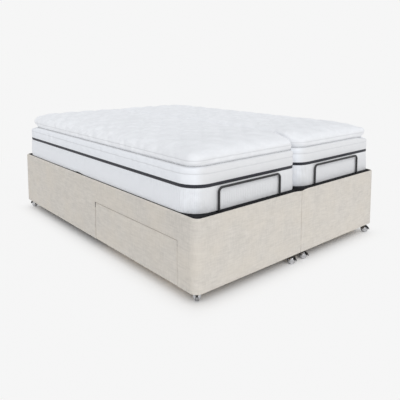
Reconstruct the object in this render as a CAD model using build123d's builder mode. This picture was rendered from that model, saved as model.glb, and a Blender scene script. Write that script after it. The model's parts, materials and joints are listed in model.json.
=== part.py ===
from build123d import *
import os
from math import atan2, cos, degrees, hypot, radians, sin

# King-size adjustable divan: two upholstered boxes side by side, each with its own lifting deck,
# twin drive, drawer, castors and mattress. Millimetres, +Z up, floor at Z = 0. The foot end faces
# -Y, the head end +Y, and the middle of the bed is X = 0. Each half is described in an outward
# coordinate that is 0 at the half's middle and grows towards the bed's outer side.

# Mattress
mattress_width = 748
mattress_length = 2000
mattress_height = 320
mattress_gap = 3
mattress_corner = 120
border_height = 215
neck_height = 13
neck_inset = 9
pillow_inset = 5
pillow_top_round = 42
pillow_low_round = 14

# Upholstered box
base_height = 354
base_gap = 2
side_reveal = 15.5
foot_reveal = 40
wall = 20
corner_radius = 42
rim_round = 8
border_inset = 10
border_thickness = 3

# Timber inside the box
ledge_width = 28
ledge_depth = 40
bearer_thickness = 18
bearer_clearance = 10
block_side = 66
block_height = 60

# Drawer
drawer_length = 800
drawer_height = 227
drawer_foot_margin = 132
drawer_gap = 3
drawer_box_depth = 400
drawer_side = 12
drawer_bottom = 6
drawer_box_drop = 34
drawer_box_lift = 12
runner_thickness = 12.5
runner_height = 45
runner_length = 380
runner_clearance = 0.3

# Deck and its lifting sections
board_thickness = 15
hinge_drop = 14
back_hinge_y = 215
seat_length = 260
thigh_length = 330
back_lift = 55
thigh_lift = 30
back_hinge_gap = 16.5
thigh_hinge_gap = 9
knee_gap = 8
end_clearance = 3
board_side_clearance = 2
seat_rest = 0.3
crossbar_width = 25
crossbar_depth = 10
strap_thickness = 5
strap_height = 25
strap_clearance = 1
lap_clearance = 2
knee_lap = 1
calf_strap_height = 20
crossbar_setback = 35
far_bar_setback = 37
strap_end_setback = 7
weld_gap = 0.2
cut_past = 1

# Fixed steel rails and lugs
rail_depth = 23
rail_thickness = 5
tube_width = 25
tube_depth = 20
lug_radius = 13
pin_radius = 4
running_fit = 0.05
rail_end_gap = 15

# Lift shafts, arms and rollers
shaft_radius = 10
back_arm = 200
leg_arm = 130
arm_place = 250
arm_width = 14
arm_height = 16
slide_width = 30
slide_thickness = 3
crank_length = 60
crank_width = 12
crank_height = 16
crank_roller = 9
roller_half = 10
shaft_stub = 0.8
pusher_gap = 4
back_pusher_drop = 6
leg_pusher_drop = 1

# Glide shoes that carry the foot end of the calf section
shoe_radius = 14
shoe_from_wall = 50
shoe_overlap = 8
calf_foot_bar_setback = 65

# Twin drive, offset towards the middle of the bed to clear the drawer
drive_offset = 150
drive_width = 110
drive_low = 290
drive_high = 372
drive_wall = 4
drive_overhang = 26
slot_width = 32
saddle_width = 14
saddle_place = 37
spindle_radius = 8
spindle_rise = 20
gear_side = 40
motor_radius = 32
motor_height = 85
motor_neck = 20
motor_spread = 70
pusher_length = 40
pusher_width = 50
pusher_foot = 12
gear_rise = 12

# Castors
castor_height = 66
castor_inset = 52
castor_trail = 22
wheel_radius = 23
wheel_width = 15
wheel_spacing = 4
wheel_rim_round = 2
axle_radius = 3
web_half = 3
web_radius = 17
hood_clearance = 1.2
hood_thickness = 2.8
hood_half = 21
hood_front = 10
stem_radius = 5.5
stem_length = 44
stem_boss = 9
boss_height = 9
socket_radius = 9
socket_flange = 14
socket_lip = 3
swivel_gap = 5
headings = {
    "left_foot_outer": 229,
    "left_foot_inner": 139,
    "left_head_outer": 275,
    "left_head_inner": 60,
    "right_foot_inner": 144,
    "right_foot_outer": 136,
    "right_head_inner": 300,
    "right_head_outer": 35,
}

# Retainer bars
bar_radius = 6
bar_width = 440
bar_rise = 113
bar_bend = 22
bar_wall_gap = 10
bar_slot = 18
bar_slot_depth = 35

# Fixings
headboard_spacing = 1020
headboard_rise = 150
headboard_low = 150
headboard_hole = 4.2
link_bolt_radius = 5
link_head_radius = 9
link_head_height = 6
link_from_end = 170
link_height = 150

# Places worked out from the sizes above
SIDES = {"left": -1, "right": 1}
base_width = mattress_width + side_reveal + (mattress_gap - base_gap) / 2
base_length = mattress_length + foot_reveal
rim_z = castor_height + base_height
half_width = base_width / 2
inner_half_width = half_width - wall
inner_end = base_length / 2 - wall
deck_low = rim_z - board_thickness
axis_z = deck_low - hinge_drop
thigh_hinge_y = back_hinge_y - seat_length
knee_y = thigh_hinge_y - thigh_length
back_shaft_y = back_hinge_y + back_arm
leg_shaft_y = thigh_hinge_y - leg_arm
strap_outer = inner_half_width - strap_clearance
strap_inner = strap_outer - strap_thickness
rail_outer = strap_inner - lap_clearance
rail_inner = rail_outer - rail_thickness
rail_top = axis_z - shoe_radius - seat_rest
rail_low = rail_top - rail_depth
ledge_top = rail_low
slide_low = deck_low - slide_thickness
arm_roller = slide_low - axis_z - seat_rest
mattress_low = rim_z + seat_rest
mattress_top = mattress_low + mattress_height
bar_y = -inner_end + bar_wall_gap
bar_low_z = deck_low - bar_radius - seat_rest
drawer_y = (-base_length / 2 + drawer_foot_margin, -base_length / 2 + drawer_foot_margin + drawer_length)
drive_y = (leg_shaft_y - crank_length - drive_overhang, back_shaft_y + crank_length + drive_overhang)
spindle_z = drive_low + spindle_rise
block_inner = inner_half_width - block_side
calf_strap_outer = strap_inner - knee_lap
calf_strap_inner = calf_strap_outer - strap_thickness
calf_foot_bar_y = -inner_end + calf_foot_bar_setback
board_half = inner_half_width - board_side_clearance
board_end = inner_end - end_clearance
mattress_y = (base_length - mattress_length) / 2
outline_margin = 5


os.makedirs("parts", exist_ok=True)


def half_centre(side):
    """X of a half's middle."""
    return side * (base_gap / 2 + half_width)


def bar_centre(side):
    """X of a mattress's middle, which its retainer bar shares."""
    return side * (mattress_gap + mattress_width) / 2


def x_span(side, inward, outward):
    """Low and high X of a stretch given in a half's outward coordinate."""
    ends = (half_centre(side) + side * inward, half_centre(side) + side * outward)
    return min(ends), max(ends)


def block(x_limits, y_limits, z_limits, mode=Mode.ADD):
    """Add or cut a rectangular block between its low and high X, Y and Z."""
    with BuildSketch(Plane.XY.offset(z_limits[0])) as outline:
        with Locations((sum(x_limits) / 2, sum(y_limits) / 2)):
            Rectangle(x_limits[1] - x_limits[0], y_limits[1] - y_limits[0])
    extrude(outline.sketch, amount=z_limits[1] - z_limits[0], mode=mode)


def disc(x_limits, y, z, radius, mode=Mode.ADD):
    """Add or cut a round bar that lies along X."""
    with BuildSketch(Plane.YZ.offset(x_limits[0])) as outline:
        with Locations((y, z)):
            Circle(radius)
    extrude(outline.sketch, amount=x_limits[1] - x_limits[0], mode=mode)


def upright(x, y, radius, z_limits, mode=Mode.ADD):
    """Add or cut a round bar that stands along Z."""
    with BuildSketch(Plane.XY.offset(z_limits[0])) as outline:
        with Locations((x, y)):
            Circle(radius)
    extrude(outline.sketch, amount=z_limits[1] - z_limits[0], mode=mode)


def along(x, z, radius, y_limits, mode=Mode.ADD):
    """Add or cut a round bar that lies along Y."""
    with BuildSketch(Plane(origin=(x, y_limits[0], z), z_dir=(0, 1, 0))) as outline:
        Circle(radius)
    extrude(outline.sketch, amount=y_limits[1] - y_limits[0], mode=mode)


def lever(x_limits, start, end, height):
    """Add a flat lever with round ends between two points in the YZ plane."""
    run, rise = end[0] - start[0], end[1] - start[1]
    with BuildSketch(Plane.YZ.offset(x_limits[0])) as outline:
        with Locations(((start[0] + end[0]) / 2, (start[1] + end[1]) / 2)):
            SlotCenterToCenter(hypot(run, rise), height, rotation=degrees(atan2(rise, run)))
    extrude(outline.sketch, amount=x_limits[1] - x_limits[0])


def side_profile(x_limits, points, mode=Mode.ADD):
    """Add, cut or keep the prism of an outline in the YZ plane."""
    with BuildSketch(Plane.YZ.offset(x_limits[0])) as outline:
        with BuildLine():
            Polyline(*points, close=True)
        make_face()
    extrude(outline.sketch, amount=x_limits[1] - x_limits[0], mode=mode)


def both_sides(inner, outer):
    """The two mirrored stretches of a half's width, as outward coordinates."""
    return (inner, outer), (-outer, -inner)


def finish(name, piece):
    """Label a piece and write it to its own file."""
    piece.part.label = name
    export_step(piece.part, f"parts/{name}.step")


# Upholstered boxes ---------------------------------------------------------------------------


def box_prism(side, inset, z_limits, mode=Mode.ADD):
    """Add or cut a box form with wide outer corners, inset all round but at the seam."""
    x_limits = x_span(side, -half_width, half_width - inset)
    middle = sum(x_limits) / 2
    with BuildSketch(Plane.XY.offset(z_limits[0])) as outline:
        with Locations((middle, 0)):
            Rectangle(x_limits[1] - x_limits[0], base_length - 2 * inset)
        outer = [corner for corner in outline.vertices() if side * (corner.X - middle) > 0]
        fillet(outer, radius=corner_radius - inset)
    extrude(outline.sketch, amount=z_limits[1] - z_limits[0], mode=mode)


def make_base_shell(name, side):
    """The box's walls, with a rounded rim, a rebate for the border, the drawer opening and bolt holes."""
    seam_x = half_centre(side) - side * half_width
    well_x = x_span(side, -inner_half_width, inner_half_width)
    outer_wall_x = x_span(side, inner_half_width - cut_past, half_width + cut_past)
    with BuildPart() as shell:
        box_prism(side, 0, (castor_height, rim_z))
        rim = shell.edges().group_by(Axis.Z)[-1]
        fillet([edge for edge in rim if abs(edge.center().X - seam_x) > wall], radius=rim_round)
        block(well_x, (-inner_end, inner_end), (castor_height - cut_past, rim_z + cut_past), Mode.SUBTRACT)
        box_prism(side, border_inset, (rim_z - border_thickness, rim_z), Mode.SUBTRACT)
        block(outer_wall_x, drawer_y, (castor_height - cut_past, castor_height + drawer_height),
              Mode.SUBTRACT)
        for rise in (headboard_low, headboard_low + headboard_rise):
            with Locations(Plane(origin=(side * headboard_spacing / 2, base_length / 2, castor_height + rise),
                                 z_dir=(0, 1, 0))):
                Hole(headboard_hole, depth=wall + cut_past)
        for end in (-1, 1):
            bolt_y = end * (base_length / 2 - link_from_end)
            disc(x_span(side, -half_width - cut_past, -inner_half_width + cut_past), bolt_y,
                 castor_height + link_height, link_bolt_radius + running_fit, Mode.SUBTRACT)
    finish(name, shell)


def make_deck_borders():
    """The black border that lies in the rebate along the top of each box."""
    with BuildPart() as borders:
        for side in SIDES.values():
            box_prism(side, border_inset, (rim_z - border_thickness, rim_z))
        for side in SIDES.values():
            well_x = x_span(side, -inner_half_width, inner_half_width)
            block(well_x, (-inner_end, inner_end), (rim_z - border_thickness - cut_past, rim_z + cut_past),
                  Mode.SUBTRACT)
    finish("deck_borders", borders)


def make_link_bolts():
    """Bolts with round heads through the two inner walls, which join the halves."""
    grip = base_gap / 2 + wall
    with BuildPart() as bolts:
        for end in (-1, 1):
            bolt_y = end * (base_length / 2 - link_from_end)
            bolt_z = castor_height + link_height
            disc((-grip, grip), bolt_y, bolt_z, link_bolt_radius)
            for face in (-grip - link_head_height, grip):
                disc((face, face + link_head_height), bolt_y, bolt_z, link_head_radius)
    finish("link_bolts", bolts)


def castor_places(side):
    """Stem centres of a half's four castors, as (name, x, y)."""
    reach = half_width - castor_inset
    length = base_length / 2 - castor_inset
    for row, row_y in (("foot", -length), ("head", length)):
        for column, outward in (("outer", reach), ("inner", -reach)):
            yield f"{row}_{column}", half_centre(side) + side * outward, row_y


def make_timber_frames():
    """Ledges under the rails, bearers stepped under the drives beside the drawers, and corner blocks."""
    bearer_top = castor_height + drawer_height - drawer_box_drop
    bearer_step = -drive_offset + drive_width / 2 + bearer_clearance
    bore_z = (castor_height - cut_past, castor_height + block_height + cut_past)
    with BuildPart() as timber:
        for side in SIDES.values():
            for stretch in both_sides(inner_half_width - ledge_width, inner_half_width):
                block(x_span(side, *stretch), (-inner_end, inner_end), (ledge_top - ledge_depth, ledge_top))
            for low_y in (drawer_y[0] - bearer_thickness, drawer_y[1]):
                bearer_y = (low_y, low_y + bearer_thickness)
                block(x_span(side, -inner_half_width, inner_half_width), bearer_y,
                      (castor_height, castor_height + block_height))
                block(x_span(side, bearer_step, inner_half_width), bearer_y, (castor_height, bearer_top))
            for end in (-1, 1):
                corner_y = sorted((end * inner_end, end * (inner_end - block_side)))
                for stretch in both_sides(block_inner, inner_half_width):
                    block(x_span(side, *stretch), corner_y, (castor_height, castor_height + block_height))
            for _, x, y in castor_places(side):
                upright(x, y, socket_radius, bore_z, Mode.SUBTRACT)
    finish("timber_frames", timber)


def make_castor_sockets():
    """Flanged steel sleeves in the corner blocks that hold the castor stems."""
    with BuildPart() as sockets:
        for side in SIDES.values():
            for _, x, y in castor_places(side):
                upright(x, y, socket_radius, (castor_height, castor_height + block_height))
                upright(x, y, socket_flange, (castor_height - socket_lip, castor_height))
                upright(x, y, stem_radius + running_fit,
                        (castor_height - socket_lip - cut_past, castor_height + block_height + cut_past),
                        Mode.SUBTRACT)
    finish("castor_sockets", sockets)


# Drawers -------------------------------------------------------------------------------------


def drawer_box_y():
    """Low and high Y of a drawer box between its runners."""
    room = runner_thickness + runner_clearance
    return drawer_y[0] + room, drawer_y[1] - room


def make_drawer_front(name, side):
    """The upholstered panel that fills the opening in the outer wall."""
    low_y, high_y = drawer_y[0] + drawer_gap, drawer_y[1] - drawer_gap
    top = castor_height + drawer_height - drawer_gap
    with BuildPart() as front:
        block(x_span(side, inner_half_width, half_width), (low_y, high_y), (castor_height, top))
        outer_x = half_centre(side) + side * half_width
        face = [edge for edge in front.edges() if abs(edge.center().X - outer_x) < running_fit]
        fillet(face, radius=drawer_gap)
    finish(name, front)


def make_drawer_box(name, side):
    """The open-topped box behind the drawer front."""
    low_y, high_y = drawer_box_y()
    floor = castor_height + drawer_box_lift
    top = castor_height + drawer_height - drawer_box_drop
    with BuildPart() as box:
        block(x_span(side, inner_half_width - drawer_box_depth, inner_half_width), (low_y, high_y),
              (floor, top))
        block(x_span(side, inner_half_width - drawer_box_depth + drawer_side, inner_half_width - drawer_side),
              (low_y + drawer_side, high_y - drawer_side), (floor + drawer_bottom, top + cut_past),
              Mode.SUBTRACT)
    finish(name, box)


def make_drawer_runners():
    """A runner on each bearer beside each drawer box."""
    low_z = castor_height + drawer_box_lift + runner_height
    with BuildPart() as runners:
        for side in SIDES.values():
            for low_y in (drawer_y[0], drawer_y[1] - runner_thickness):
                block(x_span(side, inner_half_width - runner_length, inner_half_width),
                      (low_y, low_y + runner_thickness), (low_z, low_z + runner_height))
    finish("drawer_runners", runners)


# Fixed frame and seat ------------------------------------------------------------------------


def make_mechanism_frames():
    """Side rails with hinge and shaft lugs, end tubes and the two tubes under the seat board."""
    seat_head = back_hinge_y - back_hinge_gap
    seat_foot = thigh_hinge_y + thigh_hinge_gap
    lugs = (back_hinge_y, thigh_hinge_y, back_shaft_y, leg_shaft_y)
    rail_end = inner_end - rail_end_gap
    lug_top = deck_low - seat_rest
    with BuildPart() as frames:
        for side in SIDES.values():
            for stretch in both_sides(rail_inner, rail_outer):
                plate_x = x_span(side, *stretch)
                block(plate_x, (-rail_end, rail_end), (rail_low, rail_top))
                block(plate_x, (seat_foot, seat_head), (rail_top, lug_top))
                for lug_y in lugs:
                    block(plate_x, (lug_y - lug_radius, lug_y + lug_radius), (rail_top, axis_z))
                    disc(plate_x, lug_y, axis_z, lug_radius)
                for hinge_y in (back_hinge_y, thigh_hinge_y):
                    disc(plate_x, hinge_y, axis_z, pin_radius + running_fit, Mode.SUBTRACT)
                for shaft_y in (back_shaft_y, leg_shaft_y):
                    disc(plate_x, shaft_y, axis_z, shaft_radius + running_fit, Mode.SUBTRACT)
            tube_x = x_span(side, -rail_inner + weld_gap, rail_inner - weld_gap)
            for low_y in (-rail_end, rail_end - tube_width):
                block(tube_x, (low_y, low_y + tube_width), (rail_low, rail_low + tube_depth))
            for low_y in (seat_foot, seat_head - tube_width):
                block(tube_x, (low_y, low_y + tube_width), (deck_low - tube_depth, deck_low))
    finish("mechanism_frames", frames)


def make_seat_boards():
    """The fixed board under the hips of each half."""
    seat_y = (thigh_hinge_y + thigh_hinge_gap, back_hinge_y - back_hinge_gap)
    with BuildPart() as boards:
        for side in SIDES.values():
            block(x_span(side, -board_half, board_half), seat_y, (deck_low, rim_z))
    finish("seat_boards", boards)


# Lifting sections ----------------------------------------------------------------------------

def make_board(name, side, y_limits):
    """A plain deck board of one section."""
    with BuildPart() as board:
        block(x_span(side, -board_half, board_half), y_limits, (deck_low, rim_z))
    finish(name, board)


def make_calf_board(name, side):
    """The foot-end board, with two slots for the legs of the retainer bar."""
    with BuildPart() as board:
        block(x_span(side, -board_half, board_half), (-board_end, knee_y - knee_gap), (deck_low, rim_z))
        for leg in (-1, 1):
            leg_x = bar_centre(side) + leg * bar_width / 2
            block((leg_x - bar_slot / 2, leg_x + bar_slot / 2),
                  (-board_end - cut_past, -board_end + bar_slot_depth),
                  (deck_low - cut_past, rim_z + cut_past), Mode.SUBTRACT)
    finish(name, board)


def strap(x_limits, pivot_y, end_y):
    """Add a side strap that is rounded about its pivot."""
    block(x_limits, sorted((pivot_y, end_y)), (deck_low - strap_height, deck_low))
    disc(x_limits, pivot_y, axis_z, hinge_drop)


def make_section_frame(name, side, pivot_y, end_y, bars, slide_y):
    """Straps, hinge pins, cross bars and the two slide rails that the lift rollers push."""
    with BuildPart() as frame:
        for stretch in both_sides(strap_inner, strap_outer):
            strap(x_span(side, *stretch), pivot_y, end_y)
        for stretch in both_sides(rail_inner, strap_outer):
            disc(x_span(side, *stretch), pivot_y, axis_z, pin_radius)
        if end_y == knee_y:
            for stretch in both_sides(strap_inner, strap_outer):
                disc(x_span(side, *stretch), knee_y, axis_z, hinge_drop)
            for stretch in both_sides(calf_strap_inner, strap_outer):
                disc(x_span(side, *stretch), knee_y, axis_z, pin_radius)
        bar_x = x_span(side, -strap_inner + weld_gap, strap_inner - weld_gap)
        for bar_middle in bars:
            block(bar_x, (bar_middle - crossbar_width / 2, bar_middle + crossbar_width / 2),
                  (deck_low - crossbar_depth, deck_low))
        for stretch in both_sides(arm_place - slide_width / 2, arm_place + slide_width / 2):
            block(x_span(side, *stretch), slide_y, (slide_low, deck_low))
    finish(name, frame)


def make_calf_frame(name, side):
    """Calf straps hung on the knee pins, cross bars, and glide shoes that ride on the rails."""
    shoe_y = -inner_end + shoe_from_wall
    low_z = deck_low - calf_strap_height
    with BuildPart() as frame:
        for stretch in both_sides(calf_strap_inner, calf_strap_outer):
            plate_x = x_span(side, *stretch)
            block(plate_x, (shoe_y - shoe_overlap, knee_y), (low_z, deck_low))
            disc(plate_x, knee_y, axis_z, hinge_drop)
            disc(plate_x, knee_y, axis_z, pin_radius + running_fit, Mode.SUBTRACT)
        for stretch in both_sides(rail_inner, calf_strap_outer):
            disc(x_span(side, *stretch), shoe_y, axis_z, shoe_radius)
        bar_x = x_span(side, -calf_strap_inner + weld_gap, calf_strap_inner - weld_gap)
        for bar_y_middle in (knee_y - crossbar_setback, (knee_y + shoe_y) / 2, calf_foot_bar_y):
            block(bar_x, (bar_y_middle - crossbar_width / 2, bar_y_middle + crossbar_width / 2),
                  (deck_low - crossbar_depth, deck_low))
    finish(name, frame)


def make_retainer_bar(name, side):
    """A bent rod that stands at the foot of the mattress, with its feet hooked under the calf board."""
    hook_y = calf_foot_bar_y - crossbar_width / 2 - weld_gap
    low_x, high_x = bar_centre(side) - bar_width / 2, bar_centre(side) + bar_width / 2
    top_z = rim_z + bar_rise
    with BuildPart() as bar:
        with BuildLine():
            FilletPolyline((low_x, hook_y, bar_low_z), (low_x, bar_y, bar_low_z), (low_x, bar_y, top_z),
                           (high_x, bar_y, top_z), (high_x, bar_y, bar_low_z), (high_x, hook_y, bar_low_z),
                           radius=bar_bend)
        with BuildSketch(Plane(origin=(low_x, hook_y, bar_low_z), z_dir=(0, -1, 0))):
            Circle(bar_radius)
        sweep()
    finish(name, bar)


# Lifting gear --------------------------------------------------------------------------------


def crank_tip(shaft_y, way, swing):
    """Centre of a crank's roller at rest, as (y, z)."""
    return shaft_y - way * crank_length * sin(radians(swing)), axis_z - crank_length * cos(radians(swing))


def make_lift_arm(name, side, shaft_y, way, reach, swing):
    """A shaft through both rails with two roller arms under the deck and one crank in the drive."""
    shaft = (shaft_y, axis_z)
    arm_tip = (shaft_y + way * reach, axis_z)
    tip = crank_tip(shaft_y, way, swing)
    shaft_end = rail_outer + shaft_stub
    with BuildPart() as arm:
        disc(x_span(side, -shaft_end, shaft_end), *shaft, shaft_radius)
        for stretch in both_sides(arm_place - arm_width / 2, arm_place + arm_width / 2):
            lever(x_span(side, *stretch), shaft, arm_tip, arm_height)
        for stretch in both_sides(arm_place - roller_half, arm_place + roller_half):
            disc(x_span(side, *stretch), *arm_tip, arm_roller)
        lever(x_span(side, -drive_offset - crank_width / 2, -drive_offset + crank_width / 2), shaft, tip,
              crank_height)
        disc(x_span(side, -drive_offset - roller_half, -drive_offset + roller_half), *tip, crank_roller)
    finish(name, arm)


def make_pusher(name, side, shaft_y, way, swing, drop):
    """A block on the drive's spindle that pushes the crank's roller."""
    tip_y, tip_z = crank_tip(shaft_y, way, swing)
    face_y = tip_y - way * (crank_roller + pusher_gap)
    y_limits = sorted((face_y, face_y - way * pusher_length))
    with BuildPart() as pusher:
        block(x_span(side, -drive_offset - pusher_width / 2, -drive_offset + pusher_width / 2), y_limits,
              (spindle_z - pusher_foot, tip_z - drop))
        along(drive_x(side), spindle_z, spindle_radius + running_fit,
              (y_limits[0] - cut_past, y_limits[1] + cut_past), Mode.SUBTRACT)
    finish(name, pusher)


def drive_x(side):
    """X of the middle of a half's drive."""
    return half_centre(side) - side * drive_offset


def motor_places():
    """Y of the two motors, each with the end of the drive that its spindle reaches."""
    middle = sum(drive_y) / 2
    return (middle + motor_spread, drive_y[1] - drive_wall), (middle - motor_spread, drive_y[0] + drive_wall)


def make_drive_housings():
    """A closed box under the two shafts of each half, slotted for the cranks and hung on the shafts."""
    saddle_radius = deck_low - seat_rest - axis_z
    lifts = ((back_shaft_y, back_lift), (leg_shaft_y, thigh_lift))
    with BuildPart() as housings:
        for side in SIDES.values():
            half = drive_width / 2
            block(x_span(side, -drive_offset - half, -drive_offset + half), drive_y, (drive_low, drive_high))
            inner = half - drive_wall
            block(x_span(side, -drive_offset - inner, -drive_offset + inner),
                  (drive_y[0] + drive_wall, drive_y[1] - drive_wall),
                  (drive_low + drive_wall, drive_high - drive_wall), Mode.SUBTRACT)
            for shaft_y, swing in lifts:
                slot = crank_length * sin(radians(swing)) + crank_height
                block(x_span(side, -drive_offset - slot_width / 2, -drive_offset + slot_width / 2),
                      (shaft_y - slot, shaft_y + slot),
                      (drive_high - drive_wall - cut_past, drive_high + cut_past), Mode.SUBTRACT)
                for centre in (-drive_offset - saddle_place, -drive_offset + saddle_place):
                    ear_x = x_span(side, centre - saddle_width / 2, centre + saddle_width / 2)
                    block(ear_x, (shaft_y - saddle_radius, shaft_y + saddle_radius), (drive_high, axis_z))
                    disc(ear_x, shaft_y, axis_z, saddle_radius)
                    disc(ear_x, shaft_y, axis_z, shaft_radius + running_fit, Mode.SUBTRACT)
            for motor_y, _ in motor_places():
                upright(drive_x(side), motor_y, motor_neck + seat_rest,
                        (drive_low - cut_past, drive_low + drive_wall + cut_past), Mode.SUBTRACT)
    finish("drive_housings", housings)


def make_drive_motors():
    """Two motors under each housing, each with a gear block and a spindle inside it."""
    gear_low = drive_low + drive_wall + seat_rest
    gear_high = spindle_z + gear_rise
    with BuildPart() as motors:
        for side in SIDES.values():
            for motor_y, end_y in motor_places():
                upright(drive_x(side), motor_y, motor_radius, (drive_low - seat_rest - motor_height,
                                                               drive_low - seat_rest))
                upright(drive_x(side), motor_y, motor_neck, (drive_low - seat_rest, gear_low))
                block((drive_x(side) - gear_side / 2, drive_x(side) + gear_side / 2),
                      (motor_y - gear_side / 2, motor_y + gear_side / 2), (gear_low, gear_high))
                way = 1 if end_y > motor_y else -1
                along(drive_x(side), spindle_z, spindle_radius, sorted((motor_y, end_y - way * seat_rest)))
    finish("drive_motors", motors)


# Castors -------------------------------------------------------------------------------------


def rolling_plane(x, y, heading):
    """Upright plane through a stem, local X along the heading and local Y up."""
    way = radians(heading)
    return Plane(origin=(x, y, 0), x_dir=(cos(way), sin(way), 0), z_dir=(sin(way), -cos(way), 0))


def make_castor_fork(name, x, y, heading):
    """The castor's stem, centre web and hood over the back of the two wheels."""
    plane = rolling_plane(x, y, heading)
    hood_inner = wheel_radius + hood_clearance
    hood_outer = hood_inner + hood_thickness
    stem_low = castor_height - socket_lip - swivel_gap
    with BuildPart() as fork:
        with BuildSketch(plane):
            with Locations((-castor_trail, wheel_radius)):
                Circle(hood_outer)
                Circle(hood_inner, mode=Mode.SUBTRACT)
            with Locations((-castor_trail, wheel_radius - hood_outer)):
                Rectangle(2 * (hood_outer + cut_past), 2 * hood_outer, mode=Mode.SUBTRACT)
            with Locations((hood_outer - castor_trail, wheel_radius)):
                Rectangle(2 * (hood_outer - hood_front), 2 * (hood_outer + cut_past), mode=Mode.SUBTRACT)
        extrude(amount=hood_half, both=True)
        with BuildSketch(plane):
            with Locations((-castor_trail, wheel_radius)):
                Circle(web_radius)
            with BuildLine():
                Polyline((-castor_trail, wheel_radius), (stem_boss, wheel_radius + web_radius / 2),
                         (stem_boss, stem_low),
                         (-castor_trail, wheel_radius + hood_inner + hood_thickness / 2), close=True)
            make_face()
        extrude(amount=web_half, both=True)
        with BuildSketch(plane):
            with Locations((-castor_trail, wheel_radius)):
                Circle(axle_radius + running_fit)
        extrude(amount=web_half + cut_past, both=True, mode=Mode.SUBTRACT)
        upright(x, y, stem_boss, (stem_low - boss_height, stem_low))
        upright(x, y, stem_radius, (stem_low, castor_height + stem_length))
    finish(name, fork)


def make_castor_wheels(name, x, y, heading):
    """Two wheels, each on its end of one axle."""
    plane = rolling_plane(x, y, heading)
    with BuildPart() as wheels:
        for way in (1, -1):
            with BuildSketch(plane.offset(way * wheel_spacing)):
                with Locations((-castor_trail, wheel_radius)):
                    Circle(wheel_radius)
            extrude(amount=way * wheel_width)
        rims = wheels.edges().filter_by(GeomType.CIRCLE)
        fillet(rims, radius=wheel_rim_round)
        with BuildSketch(plane):
            with Locations((-castor_trail, wheel_radius)):
                Circle(axle_radius)
        extrude(amount=wheel_spacing - weld_gap, both=True)
    finish(name, wheels)


# Mattresses ----------------------------------------------------------------------------------


def rounded_layer(side, inset, z_limits):
    """Add one layer of a mattress, with rounded corners, between two heights."""
    with BuildSketch(Plane.XY.offset(z_limits[0])) as outline:
        with Locations((bar_centre(side), mattress_y)):
            RectangleRounded(mattress_width - 2 * inset, mattress_length - 2 * inset, mattress_corner - inset)
    extrude(outline.sketch, amount=z_limits[1] - z_limits[0])


def level_edges(piece, side, z):
    """Edges of one side's mattress that lie level at a height."""
    return [edge for edge in piece.edges() if abs(edge.center().Z - z) < running_fit < side * edge.center().X]


def mattress_form(piece, side):
    """Add a whole mattress: pillow top, drawn-in neck and bordered body."""
    neck_z = mattress_low + border_height
    pillow_z = neck_z + neck_height
    rounded_layer(side, pillow_inset, (pillow_z, mattress_top))
    fillet(level_edges(piece, side, mattress_top), radius=pillow_top_round)
    fillet(level_edges(piece, side, pillow_z), radius=pillow_low_round)
    rounded_layer(side, neck_inset, (neck_z, pillow_z + pillow_low_round))
    rounded_layer(side, 0, (mattress_low, neck_z))


def upright_face(y):
    """Outline points of an upright end face."""
    return (y, mattress_low - outline_margin), (y, mattress_top + outline_margin)


def folded_face(way, hinge_y, gap, lift, shift=0):
    """Outline points of an end face that leans back, so that lifted sections meet over mid seat."""
    reach = seat_length / 2
    angle = radians(lift)
    bend_height = (gap * cos(angle) + reach) / sin(angle)
    top_height = mattress_top - axis_z + outline_margin
    top_run = (top_height * sin(angle) - reach) / cos(angle)
    foot = (hinge_y + way * gap + shift, mattress_low - outline_margin)
    bend = (hinge_y + way * gap + shift, axis_z + bend_height)
    return foot, bend, (hinge_y + way * top_run + shift, axis_z + top_height)


def make_mattress_section(name, sides, near_face, far_face):
    """The stretch of a mattress between two end faces, each a rising list of (y, z) points."""
    with BuildPart() as section:
        for side in sides:
            mattress_form(section, side)
        reach = base_gap + base_width
        side_profile((-reach, reach), (*near_face, *reversed(far_face)), Mode.INTERSECT)
    finish(name, section)


# Build every piece ---------------------------------------------------------------------------

make_deck_borders()
make_timber_frames()
make_castor_sockets()
make_link_bolts()
make_drawer_runners()
make_mechanism_frames()
make_seat_boards()
make_drive_housings()
make_drive_motors()

knee_half_gap = seat_rest / 2
past_end = base_length / 2 + outline_margin
back_face = (1, back_hinge_y, back_hinge_gap, back_lift)
thigh_face = (-1, thigh_hinge_y, thigh_hinge_gap, thigh_lift)
make_mattress_section("mattress_seats", SIDES.values(), folded_face(*thigh_face, shift=seat_rest),
                      folded_face(*back_face, shift=-seat_rest))

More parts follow.
